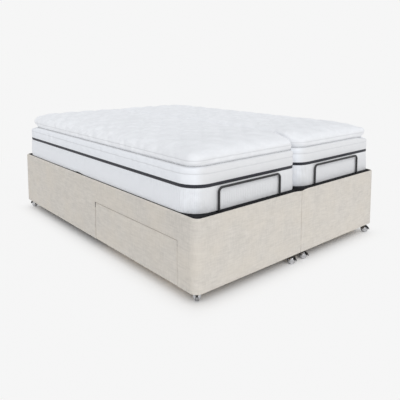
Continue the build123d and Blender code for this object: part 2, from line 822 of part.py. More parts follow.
back_bars = (back_hinge_y + crossbar_setback, back_shaft_y + back_arm + 2 * crossbar_setback,
             board_end - far_bar_setback)
thigh_bars = (thigh_hinge_y - crossbar_setback, leg_shaft_y - leg_arm - crossbar_setback)
for hand, side in SIDES.items():
    make_base_shell(f"base_shell_{hand}", side)
    make_drawer_front(f"drawer_front_{hand}", side)
    make_drawer_box(f"drawer_box_{hand}", side)
    make_board(f"back_board_{hand}", side, (back_hinge_y + back_hinge_gap, board_end))
    make_board(f"thigh_board_{hand}", side, (knee_y + knee_gap, thigh_hinge_y - thigh_hinge_gap))
    make_calf_board(f"calf_board_{hand}", side)
    make_section_frame(f"back_frame_{hand}", side, back_hinge_y, board_end - strap_end_setback, back_bars,
                       (back_bars[0], back_bars[1]))
    make_section_frame(f"thigh_frame_{hand}", side, thigh_hinge_y, knee_y, thigh_bars,
                       (thigh_bars[1], thigh_bars[0]))
    make_calf_frame(f"calf_frame_{hand}", side)
    make_retainer_bar(f"retainer_bar_{hand}", side)
    make_lift_arm(f"back_lift_arm_{hand}", side, back_shaft_y, 1, back_arm, back_lift)
    make_lift_arm(f"leg_lift_arm_{hand}", side, leg_shaft_y, -1, leg_arm, thigh_lift)
    make_pusher(f"back_pusher_{hand}", side, back_shaft_y, 1, back_lift, back_pusher_drop)
    make_pusher(f"leg_pusher_{hand}", side, leg_shaft_y, -1, thigh_lift, leg_pusher_drop)
    make_mattress_section(f"mattress_back_{hand}", (side,), folded_face(*back_face), upright_face(past_end))
    make_mattress_section(f"mattress_thigh_{hand}", (side,), upright_face(knee_y + knee_half_gap),
                          folded_face(*thigh_face))
    make_mattress_section(f"mattress_calf_{hand}", (side,), upright_face(-past_end),
                          upright_face(knee_y - knee_half_gap))
    for place, x, y in castor_places(side):
        make_castor_fork(f"castor_fork_{hand}_{place}", x, y, headings[f"{hand}_{place}"])
        make_castor_wheels(f"castor_wheels_{hand}_{place}", x, y, headings[f"{hand}_{place}"])
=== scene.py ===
"""Looks of an adjustable divan bed whose two halves lift on their own.

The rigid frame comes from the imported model. This script upholsters the two boxes, makes the pillow-top
mattresses with their tape and quilting, dresses the castors, rods, boards and lifting gear, and sets up
the stage. Every length is in metres, with the foot of the bed at -Y and the floor at Z = 0.
"""

import json
import logging
import math
from dataclasses import dataclass, field, replace
from enum import Enum
from functools import cached_property
from typing import Callable, Iterable, Optional, Sequence, Union

import bmesh
import bpy
import numpy as np
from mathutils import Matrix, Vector


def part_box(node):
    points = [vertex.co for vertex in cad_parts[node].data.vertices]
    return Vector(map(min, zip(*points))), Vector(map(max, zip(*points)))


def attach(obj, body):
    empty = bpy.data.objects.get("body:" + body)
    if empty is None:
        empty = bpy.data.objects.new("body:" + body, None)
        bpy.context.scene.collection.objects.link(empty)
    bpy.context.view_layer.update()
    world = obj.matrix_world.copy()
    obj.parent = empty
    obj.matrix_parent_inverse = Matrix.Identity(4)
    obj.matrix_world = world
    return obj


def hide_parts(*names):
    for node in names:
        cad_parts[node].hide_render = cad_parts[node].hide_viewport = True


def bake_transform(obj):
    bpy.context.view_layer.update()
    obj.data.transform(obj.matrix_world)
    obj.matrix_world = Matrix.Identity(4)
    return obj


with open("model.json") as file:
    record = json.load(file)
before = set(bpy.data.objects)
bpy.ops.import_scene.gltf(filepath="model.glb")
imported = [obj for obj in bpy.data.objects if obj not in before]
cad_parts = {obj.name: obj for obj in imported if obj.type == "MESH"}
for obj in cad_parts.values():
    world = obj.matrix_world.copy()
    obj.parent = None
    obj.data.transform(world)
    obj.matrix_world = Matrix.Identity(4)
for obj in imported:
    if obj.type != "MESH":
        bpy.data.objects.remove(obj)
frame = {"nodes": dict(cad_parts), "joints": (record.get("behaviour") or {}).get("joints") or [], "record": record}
log = logging.getLogger("divan")
logging.basicConfig(level=logging.INFO, format="%(name)s: %(message)s")

Colour = tuple[float, float, float]


class Hand(Enum):
    """One half of the bed, with the way in which its outer side lies."""

    LEFT = -1
    RIGHT = 1

    @property
    def word(self) -> str:
        """The half's name as the bodies and nodes spell it."""
        return self.name.lower()


class Row(Enum):
    """The end of a box that a castor stands under."""

    FOOT = -1
    HEAD = 1


def joint(name: str) -> dict:
    """Find a joint of the frame.

    Args:
        name: The joint's name.

    Returns:
        The joint's record, with its place, axis and range.
    """
    return next(row for row in frame["joints"] if row["name"] == name)


def smoothstep(value: np.ndarray) -> np.ndarray:
    """Ease values from 0 to 1, flat at both ends."""
    clipped = np.clip(value, 0.0, 1.0)
    return clipped * clipped * (3.0 - 2.0 * clipped)


# Shader maths ------------------------


class Link:
    """A node's output that takes part in arithmetic, value by value or vector by vector."""

    def __init__(self, graph: "Graph", socket: bpy.types.NodeSocket) -> None:
        """Keep the graph and the socket.

        Args:
            graph: The graph that new nodes go into.
            socket: The output socket.
        """
        self.graph = graph
        self.socket = socket

    def _join(self, operation: str, first: object, second: object) -> "Link":
        """Add the node that combines two operands.

        Args:
            operation: ADD, SUBTRACT or MULTIPLY.
            first: The left operand, a link, number or tuple.
            second: The right operand.

        Returns:
            The combined link, a vector or a colour where either operand is one.
        """
        kinds = {item.socket.type for item in (first, second) if isinstance(item, Link)}
        if "VECTOR" in kinds:
            return self.graph.node("ShaderNodeVectorMath", {"operation": operation}, {0: first, 1: second})
        if "RGBA" in kinds:
            return self.graph.node("ShaderNodeMix", {"data_type": "RGBA", "blend_type": operation},
                                   {0: 1.0, 6: first, 7: second}, out=2)
        return self.graph.node("ShaderNodeMath", {"operation": operation}, {0: first, 1: second})

    def __add__(self, other: object) -> "Link":
        """self + other."""
        return self._join("ADD", self, other)

    def __radd__(self, other: object) -> "Link":
        """other + self."""
        return self._join("ADD", other, self)

    def __sub__(self, other: object) -> "Link":
        """self - other."""
        return self._join("SUBTRACT", self, other)

    def __rsub__(self, other: object) -> "Link":
        """other - self."""
        return self._join("SUBTRACT", other, self)

    def __mul__(self, other: object) -> "Link":
        """self * other."""
        return self._join("MULTIPLY", self, other)

    def __rmul__(self, other: object) -> "Link":
        """other * self."""
        return self._join("MULTIPLY", other, self)

    def maths(self, operation: str, *others: object) -> "Link":
        """A Math node of another kind on this value.

        Args:
            operation: The Math node's operation, such as SINE or MAXIMUM.
            others: Further operands.

        Returns:
            The node's value.
        """
        return self.graph.node("ShaderNodeMath", {"operation": operation}, dict(enumerate((self, *others))))

    def sine(self) -> "Link":
        """The sine of this value."""
        return self.maths("SINE")

    def between(self, low: float, high: float) -> "Link":
        """Where this value lies between two limits, eased from 0 to 1.

        Args:
            low: The value that becomes 0.
            high: The value that becomes 1.

        Returns:
            The eased share.
        """
        return self.graph.node("ShaderNodeMapRange", {"interpolation_type": "SMOOTHSTEP"},
                               {"Value": self, "From Min": low, "From Max": high})


class Graph:
    """The nodes of one material or world, built by expressions."""

    def __init__(self, owner: Union[bpy.types.Material, bpy.types.World],
                 output: str = "ShaderNodeOutputMaterial") -> None:
        """Clear the owner's nodes and add its output.

        Args:
            owner: The material or world.
            output: The type of its output node.
        """
        owner.use_nodes = True
        self.tree = owner.node_tree
        self.tree.nodes.clear()
        self.output = self.tree.nodes.new(output)

    @cached_property
    def place(self) -> Link:
        """The piece's own coordinates."""
        return self.node("ShaderNodeTexCoord", out="Object")

    def node(self, kind: str, settings: Optional[dict] = None, values: Optional[dict] = None,
             out: Union[int, str] = 0) -> Link:
        """Add a node.

        Args:
            kind: The node's type.
            settings: Its properties, set first.
            values: What its input sockets hold, by name or number: links, numbers or tuples.
            out: The output wanted, by name or number.

        Returns:
            The output as a link.
        """
        made = self.tree.nodes.new(kind)
        for key, setting in (settings or {}).items():
            setattr(made, key, setting)
        for key, value in (values or {}).items():
            socket = made.inputs[key]
            if isinstance(value, Link):
                self.tree.links.new(value.socket, socket)
            elif socket.type == "RGBA" and len(value) == 3:
                socket.default_value = (*value, 1.0)
            else:
                socket.default_value = value
        return Link(self, made.outputs[out])

    def axes(self) -> tuple[Link, Link, Link]:
        """The piece's own X, Y and Z.

        Returns:
            Three values.
        """
        parts = self.node("ShaderNodeSeparateXYZ", values={0: self.place}).socket.node.outputs
        return Link(self, parts[0]), Link(self, parts[1]), Link(self, parts[2])

    def noise(self, scale: float, detail: float = 3.0, stretch: Sequence[float] = (1.0, 1.0, 1.0),
              twist: float = 0.0, roughness: float = 0.5) -> Link:
        """Cloudy noise over the piece.

        Args:
            scale: Clouds to the metre.
            detail: Octaves.
            stretch: How much finer it is along X, Y and Z.
            twist: Distortion.
            roughness: Share of the finer octaves.

        Returns:
            A value about 0.5.
        """
        return self.node("ShaderNodeTexNoise", values={
            "Vector": self.place * tuple(stretch), "Scale": scale, "Detail": detail, "Distortion": twist,
            "Roughness": roughness})

    def cells(self, scale: float, stretch: Sequence[float] = (1.0, 1.0, 1.0)) -> Link:
        """Distance to the nearest of scattered points, for dots, pits and flecks."""
        return self.node("ShaderNodeTexVoronoi", values={
            "Vector": self.place * tuple(stretch), "Scale": scale})

    def mix(self, share: object, first: object, second: object) -> Link:
        """Blend two colours.

        Args:
            share: 0 for the first, 1 for the second.
            first: A colour or a link.
            second: A colour or a link.

        Returns:
            The blended colour.
        """
        return self.node("ShaderNodeMix", {"data_type": "RGBA"}, {0: share, 6: first, 7: second}, out=2)

    def bump(self, height: Link, depth: float, strength: float = 1.0) -> Link:
        """Turn a height into a surface normal.

        Args:
            height: The height, from 0 to 1.
            depth: What 1 is worth, in metres.
            strength: How strongly it tells.

        Returns:
            The normal.
        """
        return self.node("ShaderNodeBump", values={"Height": height, "Distance": depth, "Strength": strength})

    def surface(self, varying: dict, uniform: Optional[dict] = None) -> None:
        """Finish the material with a Principled shader.

        Args:
            varying: Links or values of sockets that may change over the surface.
            uniform: Values that are the same all over.
        """
        self.show(self.node("ShaderNodeBsdfPrincipled", values={**(uniform or {}), **varying}))

    def show(self, shader: Link) -> None:
        """Send a shader to the output."""
        self.tree.links.new(shader.socket, self.output.inputs["Surface"])


# Finishes ------------------------


@dataclass(frozen=True)
class Finish:
    """A finish, painted plain unless a kind of its own says more.

    Args:
        name: Its name.
        colour: Its main colour.
    """

    name: str
    colour: Colour

    def paint(self, graph: Graph) -> None:
        """Add the finish's nodes to an empty graph."""
        graph.surface({"Base Color": self.colour})

    def material(self) -> bpy.types.Material:
        """The finish's material, made once.

        Returns:
            The material.
        """
        made = bpy.data.materials.get("finish." + self.name)
        if made is None:
            made = bpy.data.materials.new("finish." + self.name)
            self.paint(Graph(made))
        return made

    def shaded(self, share: float) -> Colour:
        """The main colour, darker or lighter by a share."""
        return self.tinted((share, share, share))

    def tinted(self, tint: Colour) -> Colour:
        """The main colour, each channel darker or lighter by its own share."""
        return tuple(min(1.0, channel * share) for channel, share in zip(self.colour, tint))


@dataclass(frozen=True)
class Chenille(Finish):
    """Upholstery cloth: soft crossed yarns, slubs along the weft and a faint clouding.

    Args:
        yarn: Width of a pair of yarns.
        relief: Depth of the weave.
        warmth: Tint of the warmer clouds.
    """

    yarn: float = 0.0026
    relief: float = 0.0007
    warmth: Colour = (1.04, 1.0, 0.93)

    def paint(self, graph: Graph) -> None:
        """Weave, slubs both ways, clouding and a soft sheen.

        Args:
            graph: The empty graph.
        """
        across, along, up = graph.axes()
        turn = 2.0 * math.pi / self.yarn
        weave = (across * turn).sine() * (along * turn).sine() \
            + (along * turn).sine() * (up * turn).sine() + (up * turn).sine() * (across * turn).sine()
        weft = graph.noise(125.0, 3.0, stretch=(0.14, 0.14, 1.0), roughness=0.6)
        warp = graph.noise(120.0, 3.0, stretch=(1.0, 1.0, 0.24), roughness=0.6)
        pile = graph.noise(420.0, 2.0)
        clouds = graph.noise(6.0, 3.0)
        smudges = graph.noise(22.0, 3.0, stretch=(1.0, 1.0, 1.6), twist=0.5)
        height = weave * 0.10 + (weft + warp) * 0.4 + pile * 0.3
        tone = weft * 0.50 + warp * 0.34 + smudges * 0.24 + clouds * 0.14 + pile * 0.14
        colour = graph.mix(tone.between(0.42, 0.94), self.shaded(0.865), self.shaded(1.115))
        colour = graph.mix(clouds.between(0.35, 0.75) * 0.35, colour, self.tinted(self.warmth))
        graph.surface({"Base Color": colour, "Roughness": 0.84 + pile * 0.14,
                       "Normal": graph.bump(height, self.relief, 0.8)},
                      {"Sheen Weight": 0.10, "Sheen Roughness": 0.5, "Specular IOR Level": 0.2})


@dataclass(frozen=True)
class Ticking(Finish):
    """Mattress cover: a white damask knit on the pillow top and a fluted, greyer panel round the border.

    Args:
        tape: Height over the floor of the border's tape.
        fold: Height of the crease above it.
        neck: Height of the border's top seam.
        roll: Height of the seam of the pillow's roll.
        foot_band: Y between which the painted shade on the foot end's face gives way to the sides.
        lying_band: Y between which the painted shade on the top's foot end fades towards the head.
        panel_tint: The border's tint.
        end_tint: Painted shade on the foot end's face, which faces the lamp and would show lighter than the sides.
        flute: Width of a flute.
        rib: Width of a knit rib.
    """

    tape: float = 0.55
    fold: float = 0.60
    neck: float = 0.64
    roll: float = 0.67
    foot_band: tuple[float, float] = (-0.976, -0.950)
    lying_band: tuple[float, float] = (-0.95, -0.45)
    panel_tint: Colour = (0.955, 0.965, 0.980)
    end_tint: Colour = (0.835, 0.825, 0.810)
    flute: float = 0.0125
    rib: float = 0.0016

    def line(self, up: Link, height: float, half: float) -> Link:
        """A sewn line at one height.

        Args:
            up: The height over the floor.
            height: Where the line runs.
            half: Half its width.

        Returns:
            1 on the line and 0 off it.
        """
        return 1.0 - (up - height).maths("ABSOLUTE").between(0.4 * half, half)

    def paint(self, graph: Graph) -> None:
        """Knit ribs, damask, flutes below the tape, sewn lines, a slight clouding, and painted shade along the
        crease and the roll seam, on the foot end's face and on the top's foot end.

        Args:
            graph: The empty graph.
        """
        across, along, up = graph.axes()
        turn = 2.0 * math.pi / self.rib
        knit = (across * turn).sine() * (along * turn).sine() + (up * turn).sine() * 0.5
        scroll = graph.node("ShaderNodeTexWave", {"wave_type": "RINGS", "rings_direction": "SPHERICAL"}, {
            "Vector": graph.place * (1.0, 1.0, 1.6), "Scale": 4.0, "Distortion": 10.0, "Detail": 2.0,
            "Detail Scale": 2.4}, out="Fac")
        damask = scroll.between(0.40, 0.60)
        loft = graph.noise(40.0, 4.0, roughness=0.6)
        patches = graph.noise(15.0, 3.0, stretch=(1.0, 0.8, 1.0), twist=0.8)
        on_border = 1.0 - up.between(self.neck - 0.004, self.neck + 0.004)
        round_corner = (across + along) * (2.0 * math.pi / self.flute)
        past_corner = (across - along) * (2.0 * math.pi / self.flute)
        fluted = on_border * (1.0 - up.between(self.tape - 0.010, self.tape))
        flutes = fluted * (round_corner.sine() + past_corner.sine()) * 0.5
        # Painted shade along the crease and the roll seam; the same mask also dents them.
        fold_seam_shade_and_dent = self.line(up, self.fold, 0.0035) + self.line(up, self.roll, 0.0030)
        tone = patches * 0.5 + loft * 0.3 + damask * 0.2
        colour = graph.mix(tone.between(0.34, 0.76), self.shaded(0.962), self.shaded(1.018))
        colour = graph.mix(on_border * 0.85, colour, self.tinted(self.panel_tint))
        below_top = 1.0 - up.between(self.roll + 0.004, self.roll + 0.024)
        # Painted shade: the foot end's face, which the lamp lights more than the sides, is painted darker.
        foot_face_shade_mask = (1.0 - along.between(*self.foot_band)) * below_top
        colour = graph.mix(foot_face_shade_mask * 0.9, colour, self.tinted(self.end_tint))
        # Painted shade: the top is painted greyer towards the foot, where its slope turns to the lamp and would
        # show lighter.
        foot_top_shade = (1.0 - along.between(*self.lying_band)) * (1.0 - on_border) * (1.0 - foot_face_shade_mask)
        colour = graph.mix(foot_top_shade * 0.55, colour, self.shaded(0.90))
        colour = graph.mix((flutes * 0.5 + 0.5) * fluted * 0.5, colour, self.shaded(0.84))
        # Painted shade: the crease and the roll seam are painted darker.
        colour = graph.mix(fold_seam_shade_and_dent * 0.5, colour, self.shaded(0.70))
        height = knit * 0.10 + loft * 0.5 + damask * 0.25 + flutes * 0.9 - fold_seam_shade_and_dent * 0.8
        graph.surface({"Base Color": colour, "Roughness": 0.80 + loft * 0.16,
                       "Normal": graph.bump(height, 0.0013, 0.7)},
                      {"Sheen Weight": 0.06, "Sheen Roughness": 0.45, "Specular IOR Level": 0.2})


@dataclass(frozen=True)
class Webbing(Finish):
    """Woven tape: fine ribs across its run and a pale fleck where threads turn.

    Args:
        rib: Width of a rib.
    """

    rib: float = 0.0022

    def paint(self, graph: Graph) -> None:
        """Ribs, flecks and a slight sheen.

        Args:
            graph: The empty graph.
        """
        across, along, up = graph.axes()
        turn = 2.0 * math.pi / self.rib
        ribs = ((across + along) * turn).sine() * 0.5 + (up * turn * 1.4).sine() * 0.35
        fleck = graph.noise(300.0, 3.0)
        colour = graph.mix((fleck + ribs * 0.2).between(0.35, 0.8), self.shaded(0.7), self.shaded(1.5))
        graph.surface({"Base Color": colour, "Roughness": 0.62 + fleck * 0.2,
                       "Normal": graph.bump(ribs, 0.0004, 0.9)},
                      {"Sheen Weight": 0.1, "Specular IOR Level": 0.35})


@dataclass(frozen=True)
class Felt(Finish):
    """Black cover cloth of the boards and rims: matted fibres with small grip dots.

    Args:
        dots: Grip dots to the metre.
    """

    dots: float = 150.0

    def paint(self, graph: Graph) -> None:
        """Fibres, dots and lint.

        Args:
            graph: The empty graph.
        """
        fibres = graph.noise(600.0, 4.0, stretch=(1.0, 2.0, 1.0), roughness=0.7)
        lint = graph.noise(45.0, 3.0)
        dots = 1.0 - graph.cells(self.dots).between(0.18, 0.34)
        colour = graph.mix((fibres * 0.6 + lint * 0.5).between(0.3, 0.8), self.shaded(0.7), self.shaded(1.6))
        graph.surface({"Base Color": colour, "Roughness": 0.95 - dots * 0.25,
                       "Normal": graph.bump(fibres * 0.4 + dots * 0.6, 0.0006, 0.8)},
                      {"Sheen Weight": 0.02, "Specular IOR Level": 0.12})


class Grain(Enum):
    """The axis that a timber's grain runs along."""

    LENGTHWISE = (9.0, 0.7, 9.0)
    CROSSWISE = (0.7, 9.0, 9.0)


@dataclass(frozen=True)
class Timber(Finish):
    """Planed softwood: growth rings drawn out along the board, pores and handling marks.

    Args:
        grain: Which way the grain runs.
    """

    grain: Grain = Grain.LENGTHWISE

    def paint(self, graph: Graph) -> None:
        """Rings, pores, knots and sawn roughness.

        Args:
            graph: The empty graph.
        """
        bands = graph.noise(6.0, 5.0, stretch=self.grain.value, twist=0.6, roughness=0.55)
        rings = (bands * 46.0).sine()
        pores = graph.noise(120.0, 3.0, stretch=self.grain.value, roughness=0.7)
        marks = graph.noise(5.0, 3.0)
        colour = graph.mix(rings.between(-0.9, 1.0), self.shaded(1.06), self.shaded(0.80))
        colour = graph.mix(pores.between(0.55, 0.8) * 0.35, colour, self.shaded(0.62))
        colour = graph.mix(marks.between(0.55, 0.8) * 0.25, colour, self.shaded(0.82))
        graph.surface({"Base Color": colour, "Roughness": 0.55 + pores * 0.3,
                       "Normal": graph.bump(rings * 0.2 + pores * 0.8, 0.0005, 0.7)})


@dataclass(frozen=True)
class PowderCoat(Finish):
    """Baked paint on steel: orange peel, dust in the hollows and rubbed spots.

    Args:
        gloss: Its roughness where clean.
        peel: Depth of the orange peel.
    """

    gloss: float = 0.42
    peel: float = 0.0004

    def paint(self, graph: Graph) -> None:
        """Peel, dust and rubbed patches.

        Args:
            graph: The empty graph.
        """
        peel = graph.noise(520.0, 2.0)
        dust = graph.noise(16.0, 4.0, roughness=0.65)
        rubbed = graph.noise(60.0, 5.0, stretch=(1.0, 2.5, 1.0), roughness=0.7)
        colour = graph.mix(dust.between(0.45, 0.8) * 0.5, self.colour, self.shaded(2.0))
        colour = graph.mix(rubbed.between(0.66, 0.78) * 0.5, colour, self.shaded(3.0))
        graph.surface({"Base Color": colour, "Roughness": self.gloss + dust * 0.22 - rubbed * 0.06,
                       "Normal": graph.bump(peel, self.peel, 0.6)}, {"Coat Roughness": 0.25})


@dataclass(frozen=True)
class Plating(Finish):
    """Bright plated metal: fine polishing lines, haze and finger marks.

    Args:
        gloss: Its roughness where clean.
    """

    gloss: float = 0.16

    def paint(self, graph: Graph) -> None:
        """Polishing lines, haze and marks.

        Args:
            graph: The empty graph.
        """
        lines = graph.noise(240.0, 3.0, stretch=(1.0, 1.0, 8.0))
        haze = graph.noise(22.0, 3.0)
        specks = graph.noise(380.0, 2.0)
        colour = graph.mix(haze.between(0.4, 0.8) * 0.5, self.colour, self.shaded(0.82))
        colour = graph.mix(specks.between(0.68, 0.8) * 0.4, colour, self.shaded(0.6))
        graph.surface({"Base Color": colour, "Roughness": self.gloss + haze * 0.16 + lines * 0.06,
                       "Normal": graph.bump(lines * 0.5 + specks * 0.3, 0.0002, 0.4)}, {"Metallic": 1.0})


@dataclass(frozen=True)
class Moulding(Finish):
    """Moulded plastic: spark-eroded texture, flow marks and scuffs.

    Args:
        gloss: Its roughness where unmarked.
        grit: Texture grains to the metre.
        relief: Depth of the texture.
    """

    gloss: float = 0.5
    grit: float = 900.0
    relief: float = 0.0003

    def paint(self, graph: Graph) -> None:
        """Texture, flow marks and scuffs.

        Args:
            graph: The empty graph.
        """
        grit = graph.noise(self.grit, 2.0, roughness=0.6)
        flow = graph.noise(11.0, 3.0, stretch=(1.0, 0.4, 1.0), twist=0.4)
        scuffs = graph.noise(80.0, 5.0, stretch=(3.0, 1.0, 1.0), roughness=0.75)
        colour = graph.mix(flow.between(0.35, 0.75), self.shaded(0.92), self.shaded(1.12))
        colour = graph.mix(scuffs.between(0.64, 0.8) * 0.45, colour, self.shaded(1.5))
        graph.surface({"Base Color": colour, "Roughness": self.gloss + scuffs * 0.18,
                       "Normal": graph.bump(grit, self.relief, 0.6)}, {"Specular IOR Level": 0.5})


MATTRESS_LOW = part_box("mattress_back_left")[0].z
BORDER_RISE = 0.215
TAPE_RISE = 0.129
FOLD_RISE = 0.186
ROLL_RISE = 0.2480

UPHOLSTERY = Chenille("stone_chenille", (0.625, 0.592, 0.547))
TICKING = Ticking("mattress_ticking", (0.870, 0.885, 0.918), tape=MATTRESS_LOW + TAPE_RISE,
                  fold=MATTRESS_LOW + FOLD_RISE, neck=MATTRESS_LOW + BORDER_RISE,
                  roll=MATTRESS_LOW + ROLL_RISE)
TAPE = Webbing("navy_tape", (0.022, 0.023, 0.032))
RIM_CLOTH = Felt("rim_cloth", (0.006, 0.006, 0.007))
DECK_CLOTH = Felt("deck_cloth", (0.012, 0.012, 0.014), dots=90.0)
SEAM_CORD = Webbing("seam_cord", (0.60, 0.61, 0.63), rib=0.0012)
TREAD = Moulding("wheel_tread", (0.090, 0.090, 0.095), gloss=0.35)
SOFTWOOD = Timber("softwood", (0.60, 0.49, 0.36))
PLYWOOD = Timber("plywood", (0.56, 0.46, 0.34), grain=Grain.CROSSWISE)
STEEL_PAINT = PowderCoat("mechanism_paint", (0.022, 0.023, 0.025))
ROD_ENAMEL = PowderCoat("rod_enamel", (0.014, 0.014, 0.016), gloss=0.30, peel=0.0002)
ZINC = Plating("zinc_plate", (0.62, 0.63, 0.64), gloss=0.28)
CHROME = Plating("wheel_chrome", (0.50, 0.50, 0.515), gloss=0.12)
DRIVE_PLASTIC = Moulding("drive_housing", (0.035, 0.036, 0.040), gloss=0.5)
MOTOR_PLASTIC = Moulding("motor_casing", (0.075, 0.076, 0.080), gloss=0.36, grit=500.0, relief=0.0001)
NYLON = Moulding("pusher_nylon", (0.72, 0.69, 0.60), gloss=0.38, relief=0.0001)
HOOD_PLASTIC = Moulding("castor_hood", (0.012, 0.012, 0.013), gloss=0.22, grit=400.0, relief=0.0001)

FINISH_OF_SLOT = {
    "stone_fabric": UPHOLSTERY, "border_fabric": RIM_CLOTH, "mattress_fabric": TICKING,
    "deck_board": DECK_CLOTH, "timber": SOFTWOOD, "mechanism_steel": STEEL_PAINT, "bar_steel": ROD_ENAMEL,
    "zinc_steel": ZINC, "drive_plastic": DRIVE_PLASTIC, "motor_plastic": MOTOR_PLASTIC,
    "pusher_plastic": NYLON, "castor_plastic": HOOD_PLASTIC, "castor_chrome": CHROME,
}


# Meshes ------------------------


class Form:
    """Points and faces of one piece while it is being made."""

    def __init__(self) -> None:
        """Start empty."""
        self.points: list[tuple[float, float, float]] = []
        self.faces: list[tuple[int, ...]] = []

    def add(self, points: Iterable[Sequence[float]]) -> list[int]:
        """Add points.

        Args:
            points: Their places.

        Returns:
            Their numbers.
        """
        start = len(self.points)
        self.points.extend((float(x), float(y), float(z)) for x, y, z in points)
        return list(range(start, len(self.points)))

    def bridge(self, first: Sequence[int], second: Sequence[int], closed: bool = True,
               keep: Optional[Callable[[int], bool]] = None) -> None:
        """Join two rows of points with faces.

        Args:
            first: One row.
            second: The other, as long.
            closed: Whether the rows are loops.
            keep: Says for each face number whether it is made.
        """
        count = len(first)
        for start in range(count if closed else count - 1):
            end = (start + 1) % count
            if keep is None or keep(start):
                self.faces.append((first[start], first[end], second[end], second[start]))

    def loft(self, rings: Sequence[Iterable[Sequence[float]]], caps: bool = True,
             joined: bool = False) -> None:
        """Join a run of loops.

        Args:
            rings: The loops, as long as each other.
            caps: Whether the first and last are filled.
            joined: Whether the last is joined to the first.
        """
        rows = [self.add(ring) for ring in rings]
        for first, second in zip(rows, rows[1:] + rows[:1] if joined else rows[1:]):
            self.bridge(first, second)
        if caps and not joined:
            self.faces.append(tuple(rows[0]))
            self.faces.append(tuple(rows[-1]))

    def lathe(self, profile: Sequence[tuple[float, float]], origin: Vector, axis: Vector,
              steps: int = 48) -> None:
        """Turn a profile about an axis.

        Args:
            profile: (distance along the axis, radius) pairs.
            origin: Where the axis starts.
            axis: Its direction.
            steps: Points to the turn.
        """
        turn = axis.normalized().to_track_quat("Z", "Y").to_matrix()
        rings = []
        for along, radius in profile:
            ring = []
            for step in range(steps):
                angle = 2.0 * math.pi * step / steps
                spoke = Vector((radius * math.cos(angle), radius * math.sin(angle), along))
                ring.append(origin + turn @ spoke)
            rings.append(ring)
        self.loft(rings)

    def block(self, low: Sequence[float], high: Sequence[float]) -> None:
        """Add a box.

        Args:
            low: Its lowest corner.
            high: Its highest corner.
        """
        (x0, y0, z0), (x1, y1, z1) = low, high
        lower = self.add([(x0, y0, z0), (x1, y0, z0), (x1, y1, z0), (x0, y1, z0)])
        upper = self.add([(x0, y0, z1), (x1, y0, z1), (x1, y1, z1), (x0, y1, z1)])
        self.bridge(lower, upper)
        self.faces.extend([tuple(lower), tuple(upper)])

    def piece(self, name: str, finish: Finish, sharp: float = 40.0, merge: float = 1e-6) -> bpy.types.Object:
        """Make the object.

        Args:
            name: Its name.
            finish: Its finish.
            sharp: Edges that turn more than this, in degrees, stay sharp.
            merge: Points nearer than this become one.

        Returns:
            The object, linked to the scene.
        """
        mesh = bpy.data.meshes.new(name)
        mesh.from_pydata(self.points, [], self.faces)
        shape = bmesh.new()
        shape.from_mesh(mesh)
        bmesh.ops.remove_doubles(shape, verts=shape.verts, dist=merge)
        bmesh.ops.dissolve_degenerate(shape, edges=shape.edges, dist=merge * 0.5)
        bmesh.ops.recalc_face_normals(shape, faces=shape.faces)
        shape.to_mesh(mesh)
        shape.free()
        made = bpy.data.objects.new(name, mesh)
        bpy.context.scene.collection.objects.link(made)
        mesh.materials.append(finish.material())
        shade(made, sharp)
        return made


def shade(piece: bpy.types.Object, sharp: float) -> None:
    """Shade a piece smooth but for its sharp edges.

    Args:
        piece: The piece.
        sharp: The angle that counts as sharp, in degrees.
    """
    piece.data.polygons.foreach_set("use_smooth", [True] * len(piece.data.polygons))
    piece.data.set_sharp_from_angle(angle=math.radians(sharp))


def settle(piece: bpy.types.Object, sharp: float = 40.0) -> bpy.types.Object:
    """Apply a piece's modifiers to its mesh.

    Args:
        piece: The piece.
        sharp: The angle that counts as sharp afterwards.

    Returns:
        The same piece.
    """
    graph = bpy.context.evaluated_depsgraph_get()
    mesh = bpy.data.meshes.new_from_object(piece.evaluated_get(graph))
    piece.modifiers.clear()
    old = piece.data
    piece.data = mesh
    bpy.data.meshes.remove(old)
    shade(piece, sharp)
    return piece


def bevelled(piece: bpy.types.Object, width: float, limit: float = 40.0) -> bpy.types.Object:
    """Round a piece's sharp edges.

    Args:
        piece: The piece.
        width: The round's width.
        limit: Edges that turn more than this are rounded.

    Returns:
        The same piece.
    """
    bevel = piece.modifiers.new("Rounding", "BEVEL")
    bevel.width = width
    bevel.segments = 2
    bevel.limit_method = "ANGLE"
    bevel.angle_limit = math.radians(limit)
    return settle(piece)


def coordinates(mesh: bpy.types.Mesh) -> np.ndarray:
    """Read a mesh's points.

    Args:
        mesh: The mesh.

    Returns:
        The points as rows of three numbers.
    """
    flat = np.empty(len(mesh.vertices) * 3)
    mesh.vertices.foreach_get("co", flat)
    return flat.reshape(-1, 3)


def move_points(mesh: bpy.types.Mesh, place: np.ndarray) -> None:
    """Put a mesh's points where an array says."""
    mesh.vertices.foreach_set("co", place.ravel())
    mesh.update()


